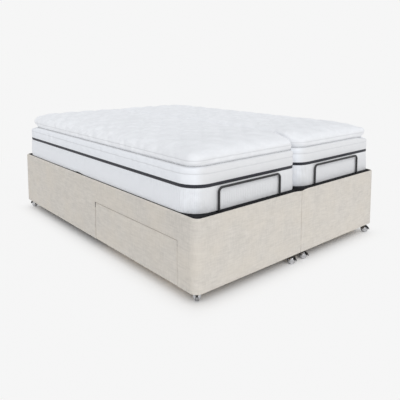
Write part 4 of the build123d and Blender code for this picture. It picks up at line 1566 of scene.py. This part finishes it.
@dataclass
class UpholsteredBox:
    """A box of boards under a stretched cloth skin, with a rolled rim and an opening for the drawer.

    Args:
        hand: The half of the bed.
        corner: Radius of the outer corners.
        seam_corner: Radius of the corners where the two boxes meet.
        gap: Gap round the drawer's front in the cloth.
        board_gap: The same in the boards.
        rim: Radius of the cloth's turn over the top edge.
        rebate: Inset at which it turns down.
        meeting_share: Share of its inset that is left where the two boxes meet.
        meeting_reach: How far from there it starts to lessen.
        foot_share: Share of its inset that is left along the foot.
        tucked: How much lower the top edge is where the boxes meet.
        skin: The cloth's thickness.
        wall: The boards' thickness.
        wrap: How far the cloth turns into the opening.
        under: How far it turns under the box.
        rim_drop: How far the rim cloth comes down inside the box.
        ripple: Depth of the cloth's unevenness.
        step: Spacing of the points.
    """

    hand: Hand
    corner: float = 0.042
    seam_corner: float = 0.0035
    gap: float = 0.003
    board_gap: float = 0.006
    rim: float = 0.008
    rebate: float = 0.0125
    meeting_share: float = 0.24
    meeting_reach: float = 0.055
    foot_share: float = 0.60
    tucked: float = 0.0026
    skin: float = 0.0022
    wall: float = 0.020
    wrap: float = 0.014
    under: float = 0.016
    rim_drop: float = 0.031
    ripple: float = 0.0006
    step: float = 0.030

    def __post_init__(self) -> None:
        """Take the box and its opening from the frame."""
        word = self.hand.word
        self.low, self.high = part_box(f"base_shell_{word}")
        front_low, front_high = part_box(f"drawer_front_{word}")
        self.opening, self.board_opening = (
            Opening(front_low.y - gap, front_high.y + gap, front_high.z + gap)
            for gap in (self.gap, self.board_gap))
        near = self.seam_corner
        left, right = (self.corner, near) if self.hand is Hand.LEFT else (near, self.corner)
        radii = (left, right, right, left)
        stops_x = spread(self.low.x + left, self.high.x - right, self.step)
        ends = (self.opening.low, self.opening.high, self.board_opening.low, self.board_opening.high)
        stops_y = spread(self.low.y + self.corner, self.high.y - self.corner, self.step, fixed=ends)
        self.outline = Outline((self.low.x, self.low.y), (self.high.x, self.high.y), radii, tuple(stops_x),
                               tuple(stops_y), arc_steps=8)

    def top_loop(self, inset: float, kept: float) -> tuple[np.ndarray, np.ndarray]:
        """A loop on the top edge, nearer the edge at the foot and nearest where the two boxes meet.

        Args:
            inset: Its inset on the long outer side.
            kept: The share of it that is left where the boxes meet.

        Returns:
            The loop's points, and how near each is to the other box, from 0 to 1.
        """
        ring, ways = self.outline.loop()
        meeting = self.low.x if self.hand is Hand.RIGHT else self.high.x
        near = smoothstep((self.meeting_reach - np.abs(ring[:, 0] - meeting)) / (self.meeting_reach - 0.005))
        scale = (1.0 - (1.0 - kept) * near) * (1.0 - (1.0 - self.foot_share) * smoothstep(-ways[:, 1]))
        return ring - ways * (inset * scale)[:, None], near

    def walls(self, levels: Sequence[tuple[float, float]], opening: Opening, depth: float,
              above: Sequence[tuple[float, float]] = ()) -> Form:
        """Rows of wall faces round the box, left open at the drawer and returned into the opening.

        Args:
            levels: (inset, Z) of each row; one of them has to be the opening's top.
            opening: The opening.
            depth: How far the returns reach in from the outer face.
            above: (inset, Z) of further rows on the top edge.

        Returns:
            The form.
        """
        body = Form()
        way = self.hand.value
        rings = []
        for inset, z in levels:
            rings.append((body.add([(x, y, z) for x, y in self.outline.loop(inset)[0]]), z))
        for inset, z in above:
            edge, near = self.top_loop(inset, self.meeting_share)
            rings.append((body.add(np.column_stack([edge, z - self.tucked * near])), z))
        ring, ways = self.outline.loop()
        outer = ways[:, 0] * way > 0.9
        middle = 0.5 * (ring[:, 1] + np.roll(ring[:, 1], -1))
        missing = outer & np.roll(outer, -1) & (middle > opening.low) & (middle < opening.high)
        for (first, low_z), (second, high_z) in zip(rings, rings[1:]):
            is_open = max(low_z, high_z) < opening.top + 1e-6
            body.bridge(first, second, keep=lambda number: not (is_open and missing[number]))
        face = (self.high.x if way > 0 else self.low.x) - way * min(inset for inset, _ in levels)
        back = face - way * depth
        heights = sorted({z for _, z in levels if z < opening.top + 1e-6})
        for y in (opening.low, opening.high):
            body.bridge(body.add([(face, y, z) for z in heights]), body.add([(back, y, z) for z in heights]),
                        closed=False)
        run = sorted({y for y in ring[:, 1] if opening.low - 1e-6 < y < opening.high + 1e-6})
        body.bridge(body.add([(face, y, opening.top) for y in run]),
                    body.add([(back, y, opening.top) for y in run]), closed=False)
        return body

    def cloth(self) -> bpy.types.Object:
        """The stretched skin, wrapped under the box, over the rim and into the opening.

        Returns:
            The skin as one object.
        """
        z0, z1 = self.low.z, self.high.z
        top = self.opening.top
        levels = [(self.under, z0), (0.004, z0), (0.0012, z0 + 0.0012), (0.0, z0 + 0.004)]
        levels += [(0.0, z) for z in spread(z0 + 0.004, top, self.step)]
        levels.append((0.0, top))
        levels += [(0.0, z) for z in spread(top, z1 - self.rim, self.step)]
        above: list[tuple[float, float]] = []
        for step in range(7):
            angle = 0.5 * math.pi * step / 6
            above.append((self.rim * (1.0 - math.cos(angle)), z1 - self.rim * (1.0 - math.sin(angle))))
        above += [(self.rebate, z1), (self.rebate, z1 - 0.0028)]
        made = self.walls(levels, self.opening, self.wrap, above).piece(
            f"box_cloth_{self.hand.word}", UPHOLSTERY, merge=1e-5)
        thick = made.modifiers.new("Thickness", "SOLIDIFY")
        thick.thickness = self.skin
        thick.offset = -1.0
        return bevelled(made, 0.0008, limit=55.0)

    def rim_cloth(self) -> bpy.types.Object:
        """The dark cloth rolled over the top edge and tacked down inside the box.

        Returns:
            The cloth as one object.
        """
        top, inner, foot = self.high.z, self.wall, self.high.z - self.rim_drop
        section = [(0.0, top - 0.0030)]
        for step in range(9):
            angle = math.pi * step / 8
            section.append((0.5 - 0.5 * math.cos(angle), top - 0.0026 * (1.0 - math.sin(angle))))
        tail = [(inner + 0.0006, top - 0.006), (inner + 0.0006, foot + 0.001), (inner + 0.0004, foot),
                (inner - 0.0004, foot), (inner - 0.0004, top - 0.006)]
        rings = []
        start, _ = self.top_loop(self.rebate + 0.0003, 0.04)
        end, _ = self.outline.loop(inner)
        for share, z in section:
            rings.append([(x, y, z) for x, y in start + (end - start) * share])
        for inset, z in tail:
            rings.append([(x, y, z) for x, y in self.outline.loop(inset)[0]])
        body = Form()
        body.loft(rings, caps=False, joined=True)
        made = body.piece(f"rim_cloth_{self.hand.word}", RIM_CLOTH, sharp=60.0)
        if self.hand is Hand.LEFT:
            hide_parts("deck_borders")
        return made

    def boards(self) -> bpy.types.Object:
        """The boards behind the cloth, which show inside the box.

        Returns:
            The boards as one object.
        """
        z0, z1 = self.low.z + 0.003, self.high.z - 0.0034
        shell = self.skin + 0.0004
        top = self.board_opening.top
        levels = [(self.wall, z0), (shell, z0), (shell, top), (shell, z1), (self.wall, z1), (self.wall, top),
                  (self.wall, z0)]
        body = self.walls(levels, self.board_opening, self.wall - shell)
        return body.piece(f"box_boards_{self.hand.word}", PLYWOOD, merge=1e-5)

    def build(self) -> None:
        """Make the skin and the boards and fix them to the base."""
        cloth = self.cloth()
        place = coordinates(cloth.data)
        rng = np.random.default_rng(7 + self.hand.value)
        phases = rng.uniform(0.0, 2.0 * math.pi, 6)
        wave = sum(np.sin(place[:, 1] * (3.0 + 2.3 * k) + place[:, 2] * (9.0 + 3.0 * k)
                          + place[:, 0] * (4.0 + 1.7 * k) + phase) for k, phase in enumerate(phases)) / 6.0
        inner = 0.5 * (self.low.x + self.high.x)
        outward = np.zeros_like(place)
        reach = np.abs(place[:, 0] - inner) > 0.5 * (self.high.x - self.low.x) - 0.006
        outward[reach, 0] = np.sign(place[reach, 0] - inner)
        calm = smoothstep((place[:, 2] - self.low.z) / 0.06) * smoothstep((self.high.z - place[:, 2]) / 0.06)
        away = self.hand.value * (place[:, 0] - inner) > 0.0
        place += outward * (self.ripple * wave * calm * away)[:, None]
        move_points(cloth.data, place)
        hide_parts(f"base_shell_{self.hand.word}")
        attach(cloth, "base")
        boards = self.boards()
        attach(boards, "base")
        rim = self.rim_cloth()
        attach(rim, "base")
        log.info("%s box upholstered", self.hand.word)


# Deck boards ------------------------


@dataclass(frozen=True)
class Contour:
    """A closed outline of right-angled corners, some of which may turn inwards.

    Args:
        corners: (X, Y, radius) of each, counter-clockwise.
        arc_steps: Steps to a corner.
    """

    corners: tuple[tuple[float, float, float], ...]
    arc_steps: int = 5

    def loop(self, inset: float, z: float) -> list[Vector]:
        """The outline's points, drawn in by an inset.

        Args:
            inset: How far it is drawn in.
            z: Their height.

        Returns:
            The points, counter-clockwise.
        """
        places = [Vector(corner[:2]) for corner in self.corners]
        points = []
        for number, (*_, radius) in enumerate(self.corners):
            before = (places[number] - places[number - 1]).normalized()
            after = (places[(number + 1) % len(places)] - places[number]).normalized()
            outwards = before.x * after.y - before.y * after.x > 0.0
            reach = max(radius, inset) if outwards else radius
            rest = reach - inset if outwards else -(radius + inset)
            centre = places[number] + (after - before) * reach
            for step in range(self.arc_steps + 1):
                angle = 0.5 * math.pi * step / self.arc_steps
                way = Vector((before.y, -before.x)) * math.cos(angle) \
                    + Vector((after.y, -after.x)) * math.sin(angle)
                points.append((centre + way * rest).to_3d() + Vector((0.0, 0.0, z)))
        return points


@dataclass
class DeckBoard:
    """A deck board wrapped in dark cloth, which is folded under and stapled round the bare underside.

    Args:
        hand: The half of the bed.
        section: Which board of the half.
        corner: Radius of its corners.
        round_over: Radius of its top edge.
        hem: Width of the cloth's hem below.
        slot_half: Half the width of a retainer bar's slot.
        slot_depth: Depth of a slot.
        bar_radius: The retainer bar's radius.
        staple_step: Spacing of the staples.
        staple_inset: Their distance from the edge.
        staple: Length, width and height of a staple.
        drift: How far a staple may stray along and across its row.
    """

    hand: Hand
    section: str
    corner: float = 0.006
    round_over: float = 0.0045
    hem: float = 0.030
    slot_half: float = 0.009
    slot_depth: float = 0.035
    bar_radius: float = 0.006
    staple_step: float = 0.055
    staple_inset: float = 0.018
    staple: tuple[float, float, float] = (0.0110, 0.0012, 0.0008)
    drift: tuple[float, float] = (0.006, 0.002)

    def __post_init__(self) -> None:
        """Take the board's box from the frame."""
        word = self.hand.word
        self.node = "seat_boards" if self.section == "seat" else f"{self.section}_board_{word}"
        across_low, across_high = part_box(f"back_board_{word}")
        low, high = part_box(self.node)
        self.low = Vector((across_low.x, low.y, low.z))
        self.high = Vector((across_high.x, high.y, high.z))

    def contour(self) -> Contour:
        """The board's outline, with the slots for the retainer bar's legs at the foot end.

        Returns:
            The outline.
        """
        corner = self.corner
        places = [(self.low.x, self.low.y, corner)]
        if self.section == "calf":
            bar_low, bar_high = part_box(f"retainer_bar_{self.hand.word}")
            end = self.low.y + self.slot_depth
            for middle in (bar_low.x + self.bar_radius, bar_high.x - self.bar_radius):
                left, right = middle - self.slot_half, middle + self.slot_half
                places += [(left, self.low.y, 0.003), (left, end, 0.004), (right, end, 0.004),
                           (right, self.low.y, 0.003)]
        places += [(self.high.x, self.low.y, corner), (self.high.x, self.high.y, corner),
                   (self.low.x, self.high.y, corner)]
        return Contour(tuple(places))

    def staples(self) -> Form:
        """Staples along the hem, each parallel to its edge.

        Returns:
            The form.
        """
        body = Form()
        rng = np.random.default_rng(31 + len(self.section) + self.hand.value)
        inset, z = self.staple_inset, self.low.z
        length, width, height = (0.5 * size for size in self.staple)
        along, across = self.drift
        for y in (self.low.y + inset, self.high.y - inset):
            for x in spread(self.low.x + 0.03, self.high.x - 0.03, self.staple_step):
                x, slip = x + rng.uniform(-along, along), y + rng.uniform(-across, across)
                if self.section != "calf" or y > self.low.y + 2.0 * inset:
                    body.block((x - length, slip - width, z - height), (x + length, slip + width, z + height))
        for x in (self.low.x + inset, self.high.x - inset):
            for y in spread(self.low.y + 0.03, self.high.y - 0.03, self.staple_step):
                slip, y = x + rng.uniform(-across, across), y + rng.uniform(-along, along)
                body.block((slip - width, y - length, z - height), (slip + width, y + length, z + height))
        return body

    def build(self) -> None:
        """Make the cloth cover, the bare underside and the staples."""
        word = f"{self.section}_{self.hand.word}"
        body_name = "base" if self.section == "seat" else word
        outline = self.contour()
        low, top, fold = self.low.z, self.high.z, self.round_over
        section = [(self.hem, low + 0.0012), (self.hem, low), (0.004, low), (0.0012, low + 0.0012),
                   (0.0, low + 0.004)]
        for step in range(6):
            angle = 0.5 * math.pi * step / 5
            section.append((fold * (1.0 - math.cos(angle)), top - 0.0004 - fold * (1.0 - math.sin(angle))))
        section += [(0.010, top - 0.0001), (0.016, top)]
        cover = Form()
        cover.loft([outline.loop(inset, z) for inset, z in section])
        made = cover.piece(f"deck_cover_{word}", DECK_CLOTH, sharp=50.0)
        if self.section != "seat" or self.hand is Hand.LEFT:
            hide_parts(self.node)
        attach(made, body_name)
        under = Form()
        under.loft([outline.loop(self.hem - 0.001, low + rise) for rise in (0.0011, 0.0016)])
        bare = under.piece(f"deck_underside_{word}", PLYWOOD)
        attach(bare, body_name)
        tacks = self.staples().piece(f"deck_staples_{word}", ZINC)
        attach(tacks, body_name)
        log.info("%s %s board covered", self.hand.word, self.section)


@dataclass
class DrawerFront:
    """The padded front of a drawer, in the same cloth, with its corners folded in.

    Args:
        hand: The half of the bed.
        round_over: Radius of its edges.
        crown: How far its padding stands out.
        corner_gap: How far the fold draws its top corners in.
        margins: Distances from its edges at which the face has rows of points.
        step: Spacing of the other rows.
        buffer_drop: How far the dark blocks of painted shade reach down.
        buffer_depth: How far back they reach.
        buffer_width: Their width.
    """

    hand: Hand
    round_over: float = 0.005
    crown: float = 0.0012
    corner_gap: float = 0.0020
    margins: tuple[float, ...] = (0.0, 0.0015, 0.004, 0.010)
    step: float = 0.025
    buffer_drop: float = 0.031
    buffer_depth: float = 0.0120
    buffer_width: float = 0.0035

    def stops(self, low: float, high: float) -> list[float]:
        """Places of the rows of points between two edges of the face.

        Args:
            low: The lower edge.
            high: The higher edge.

        Returns:
            The places, rising.
        """
        last = self.margins[-1]
        return [*[low + margin for margin in self.margins], *spread(low + last, high - last, self.step),
                *[high - margin for margin in reversed(self.margins)]]

    def fall(self, distance: float) -> float:
        """How far the face falls back near an edge.

        Args:
            distance: The distance from the edge.

        Returns:
            The fall.
        """
        if distance >= self.round_over:
            return 0.0
        left = 1.0 - distance / self.round_over
        return self.round_over * (1.0 - math.sqrt(max(0.0, 1.0 - left * left)))

    def build(self) -> None:
        """Make the front as a closed crowned form on the drawer."""
        word = self.hand.word
        low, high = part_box(f"drawer_front_{word}")
        way = self.hand.value
        outer, inner = (high.x, low.x) if way > 0 else (low.x, high.x)
        ys = self.stops(low.y, high.y)
        body = Form()
        rows = []
        for z in self.stops(low.z, high.z):
            row = []
            for y in ys:
                edge_y, edge_z = min(y - low.y, high.y - y), min(z - low.z, high.z - z)
                drop = math.hypot(self.fall(edge_y), self.fall(edge_z))
                puff = self.crown * (1.0 - math.exp(-edge_y / 0.03)) * (1.0 - math.exp(-edge_z / 0.03))
                pinch = math.exp(-(edge_y / 0.014) ** 2) * math.exp(-((high.z - z) / 0.026) ** 2)
                tuck = self.corner_gap * pinch * (1.0 if y < 0.5 * (low.y + high.y) else -1.0)
                row.append((outer - way * (min(drop, self.round_over) + self.crown - puff), y + tuck, z))
            rows.append(body.add(row))
        for first, second in zip(rows, rows[1:]):
            body.bridge(first, second, closed=False)
        rim = [*rows[0], *[row[-1] for row in rows[1:]], *reversed(rows[-1][:-1]),
               *[row[0] for row in reversed(rows[1:-1])]]
        back = body.add([(inner, body.points[number][1], body.points[number][2]) for number in rim])
        body.bridge(rim, back)
        body.faces.append(tuple(back))
        made = body.piece(f"drawer_pad_{word}", UPHOLSTERY, sharp=60.0)
        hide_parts(f"drawer_front_{word}")
        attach(made, f"drawer_{word}")
        self.buffers(low, high, outer)
        log.info("%s drawer front padded", word)

    def buffers(self, low: Vector, high: Vector, outer: float) -> None:
        """Dark blocks on the sides of the opening, beside the front's top corners: painted shade that darkens the
        gap there.

        Args:
            low: The front's lowest corner.
            high: Its highest corner.
            outer: X of its face.
        """
        body = Form()
        way = self.hand.value
        # Painted shade: dark blocks just behind the front stand for the shade in the gap at its top corners.
        for edge, outwards in ((low.y, -1.0), (high.y, 1.0)):
            start = edge - outwards * 0.0004
            near, far = sorted((start, start + outwards * self.buffer_width))
            first, last = sorted((outer - way * 0.0014, outer - way * self.buffer_depth))
            body.block((first, near, high.z - self.buffer_drop), (last, far, high.z - 0.001))
        made = bevelled(body.piece(f"drawer_buffers_{self.hand.word}", TREAD), 0.0006)
        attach(made, "base")


# Castors ------------------------


@dataclass
class Castor:
    """A twin-wheel castor: two bright domed wheels with dark treads, and a collar round the stem.

    Args:
        hand: The half of the bed.
        row: Its row along the bed.
        column: Its side of the half.
        radius: The wheels' radius.
        inner: Distance from the castor's middle to a wheel.
        width: A wheel's width.
        tread_width: Width of its tread.
        web: (distance from the middle, radius) of the web between the wheels.
        collar: (height, radius) of the collar.
    """

    hand: Hand
    row: Row
    column: str
    radius: float = 0.023
    inner: float = 0.004
    width: float = 0.015
    tread_width: float = 0.0022
    web: tuple[tuple[float, float], ...] = ((-0.0037, 0.0040), (-0.0037, 0.0214), (-0.0030, 0.0222),
                                            (0.0030, 0.0222), (0.0037, 0.0214), (0.0037, 0.0040))
    collar: tuple[tuple[float, float], ...] = ((0.0582, 0.0057), (0.0582, 0.0082), (0.0588, 0.0088),
                                               (0.0606, 0.0088), (0.0612, 0.0082), (0.0612, 0.0057))

    @property
    def place(self) -> str:
        """The castor's name in the bodies."""
        return f"{self.hand.word}_{self.row.name.lower()}_{self.column}"

    def dome(self) -> list[tuple[float, float]]:
        """The section of a wheel's bright dome, from its tread outwards.

        Returns:
            (distance from the castor's middle, radius) of its points.
        """
        start, depth = self.inner + self.tread_width, self.width - self.tread_width
        rim = self.radius - 0.0022
        dome = [(start, rim - 0.004), (start, rim - 0.0006), (start + 0.0006, rim)]
        for step in range(1, 12):
            angle = 0.5 * math.pi * step / 12
            dome.append((start + 0.0006 + (depth - 0.0006) * math.sin(angle), rim * math.cos(angle) ** 0.8))
        ring = dome[-4][1]
        groove = [(start + depth * 0.965, ring + 0.0006), (start + depth * 0.93, ring - 0.0002),
                  (start + depth * 0.965, ring - 0.0010)]
        return dome[:-4] + groove + [(start + depth * 0.99, ring * 0.6), (start + depth, 0.0012)]

    def tread(self) -> list[tuple[float, float]]:
        """The section of a wheel's dark tread.

        Returns:
            (distance from the castor's middle, radius) of its points.
        """
        start, end, rim = self.inner, self.inner + self.tread_width, self.radius
        return [(start, 0.0031), (start, rim - 0.0018), (start + 0.0003, rim - 0.0006), (start + 0.0008, rim),
                (end - 0.0008, rim), (end - 0.0004, rim - 0.0005), (end, rim - 0.0014), (end, 0.0031)]

    def build(self) -> None:
        """Make the wheels on their body and the collar on the fork's."""
        axle = joint(f"roll_{self.place}")
        centre, axis = Vector(axle["pos_m"]), Vector(axle["axis"]).normalized()
        wheels, treads = Form(), Form()
        for way in (1.0, -1.0):
            wheels.lathe(self.dome(), centre, axis * way, steps=56)
            treads.lathe(self.tread(), centre, axis * way, steps=56)
        wheels.lathe([(-self.inner - 0.001, 0.003), (self.inner + 0.001, 0.003)], centre, axis, steps=24)
        made = wheels.piece(f"castor_discs_{self.place}", CHROME, sharp=50.0)
        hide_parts(f"castor_wheels_{self.place}")
        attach(made, f"wheels_{self.place}")
        tyres = treads.piece(f"castor_treads_{self.place}", TREAD, sharp=50.0)
        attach(tyres, f"wheels_{self.place}")
        web = Form()
        web.lathe(self.web, centre, axis, steps=48)
        shield = web.piece(f"castor_web_{self.place}", CHROME, sharp=50.0)
        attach(shield, f"castor_{self.place}")
        swivel = joint(f"swivel_{self.place}")
        stem = Vector((swivel["pos_m"][0], swivel["pos_m"][1], 0.0))
        collar = Form()
        collar.lathe(self.collar, stem, Vector((0.0, 0.0, 1.0)), steps=32)
        ring = collar.piece(f"castor_collar_{self.place}", ZINC, sharp=50.0)
        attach(ring, f"castor_{self.place}")
        log.info("castor %s made", self.place)


# Stage ------------------------


@dataclass
class Stage:
    """Camera, lights, floor and background.

    Args:
        place: The camera's place.
        turn: Degrees by which it looks to the right of the bed's length.
        tilt: Degrees by which it looks down.
        lens: Its focal length, in millimetres.
        sensor: Width of its sensor, in millimetres.
        shift: How far its picture is shifted, as a share of the width.
        pale: Brightness of the background.
        sky: Strength of the light from all round.
        sky_colour: Its colour.
        key: Strength of the lamp.
        key_colour: Its colour.
        key_from: Where it shines from.
        key_softness: Its angular size, in degrees.
        reach: Radius of the floor.
        floor_white: The floor's colour.
        floor_glow: Share of the floor's own light close to the bed's outline.
        far_glow: Further share outside it.
    """

    place: tuple[float, float, float] = (-2.0501, -2.5478, 1.1092)
    turn: float = 40.637
    tilt: float = 5.637
    lens: float = 41.873
    sensor: float = 36.0
    shift: float = -0.2253
    pale: float = 0.921
    sky: float = 0.66
    sky_colour: Colour = (0.98, 0.99, 1.0)
    key: float = 1.22
    key_colour: Colour = (1.0, 0.995, 0.985)
    key_from: tuple[float, float, float] = (-0.30, -0.69, 0.66)
    key_softness: float = 50.0
    reach: float = 60.0
    floor_white: float = 1.0
    floor_glow: float = 0.62
    far_glow: float = 0.34

    def camera(self) -> None:
        """Put the camera where it sees the bed's foot and left side."""
        data = bpy.data.cameras.new("camera")
        data.lens = self.lens
        data.sensor_width = self.sensor
        data.shift_y = self.shift
        data.clip_end = 200.0
        camera = bpy.data.objects.new("camera", data)
        bpy.context.scene.collection.objects.link(camera)
        camera.location = self.place
        camera.rotation_euler = (math.radians(90.0 - self.tilt), 0.0, math.radians(-self.turn))
        bpy.context.scene.camera = camera

    def lights(self) -> None:
        """Light the bed evenly, a little more from the foot and above."""
        world = bpy.data.worlds.new("sky")
        bpy.context.scene.world = world
        graph = Graph(world, "ShaderNodeOutputWorld")
        straight, glossy, through = (graph.node("ShaderNodeLightPath", out=f"Is {ray} Ray")
                                     for ray in ("Camera", "Glossy", "Transmission"))
        seen = straight.maths("MAXIMUM", glossy.maths("MAXIMUM", through))
        lit = graph.node("ShaderNodeBackground", values={"Color": self.sky_colour, "Strength": self.sky})
        shown = graph.node("ShaderNodeBackground", values={"Color": (self.pale,) * 3})
        graph.show(graph.node("ShaderNodeMixShader", values={0: seen, 1: lit, 2: shown}))
        sun = bpy.data.lights.new("key", "SUN")
        sun.energy = self.key
        sun.angle = math.radians(self.key_softness)
        sun.color = self.key_colour
        lamp = bpy.data.objects.new("key", sun)
        bpy.context.scene.collection.objects.link(lamp)
        lamp.rotation_euler = Vector(self.key_from).to_track_quat("Z", "Y").to_euler()

    def floor(self) -> None:
        """Lay a pale floor that glows a little beyond the bed's outline and keeps its shadow."""
        body = Form()
        rings = []
        for radius in (0.0, 1.0, 2.0, 4.0, 8.0, 16.0, self.reach):
            rings.append([(radius * math.cos(a), radius * math.sin(a), 0.0)
                          for a in (2.0 * math.pi * step / 64 for step in range(64))])
        body.loft(rings, caps=False)
        finish = bpy.data.materials.new("stage.floor")
        graph = Graph(finish)
        across, along, _ = graph.axes()
        distance = (across * across + along * along).maths("SQRT")
        low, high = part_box("base_shell_left")[0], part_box("base_shell_right")[1]
        outside = (across.maths("ABSOLUTE") - high.x).maths("MAXIMUM", along.maths("ABSOLUTE") + low.y)
        # Painted light: the floor glows more outside the bed's outline, which lifts the wide shadow there; under
        # the bed only the real shadow is left.
        near = self.floor_glow * outside.between(-0.10, 0.05) + self.far_glow * outside.between(0.01, 0.11)
        diffuse = graph.node("ShaderNodeBsdfDiffuse", values={"Color": (self.floor_white,) * 3})
        glow = graph.node("ShaderNodeEmission", values={"Color": (self.pale,) * 3})
        share = near.maths("MAXIMUM", distance.between(1.7, 3.0))
        graph.show(graph.node("ShaderNodeMixShader", values={0: share, 1: diffuse, 2: glow}))
        made = body.piece("floor", UPHOLSTERY)
        made.data.materials.clear()
        made.data.materials.append(finish)

    def build(self) -> None:
        """Set up the whole stage."""
        self.camera()
        self.lights()
        self.floor()
        view = bpy.context.scene.view_settings
        view.view_transform = "Standard"
        log.info("stage set")


# Everything ------------------------


def dress_frame() -> None:
    """Give every carried-over part of the frame its finish."""
    for row in frame["record"]["subparts"]:
        finish = FINISH_OF_SLOT[row["material_slot"]]
        part = frame["nodes"][row["node"]]
        for slot in part.material_slots:
            slot.material = finish.material()
    log.info("frame dressed")


def main() -> None:
    """Build the whole scene."""
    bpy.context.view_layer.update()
    Stage().build()
    dress_frame()
    for hand in Hand:
        UpholsteredBox(hand).build()
        DrawerFront(hand).build()
        for section in ("back", "seat", "thigh", "calf"):
            DeckBoard(hand, section).build()
        Mattress(hand).build()
        for row in Row:
            for column in ("outer", "inner"):
                Castor(hand, row, column).build()
        log.info("%s half done", hand.word)


if __name__ == "__main__":
    main()
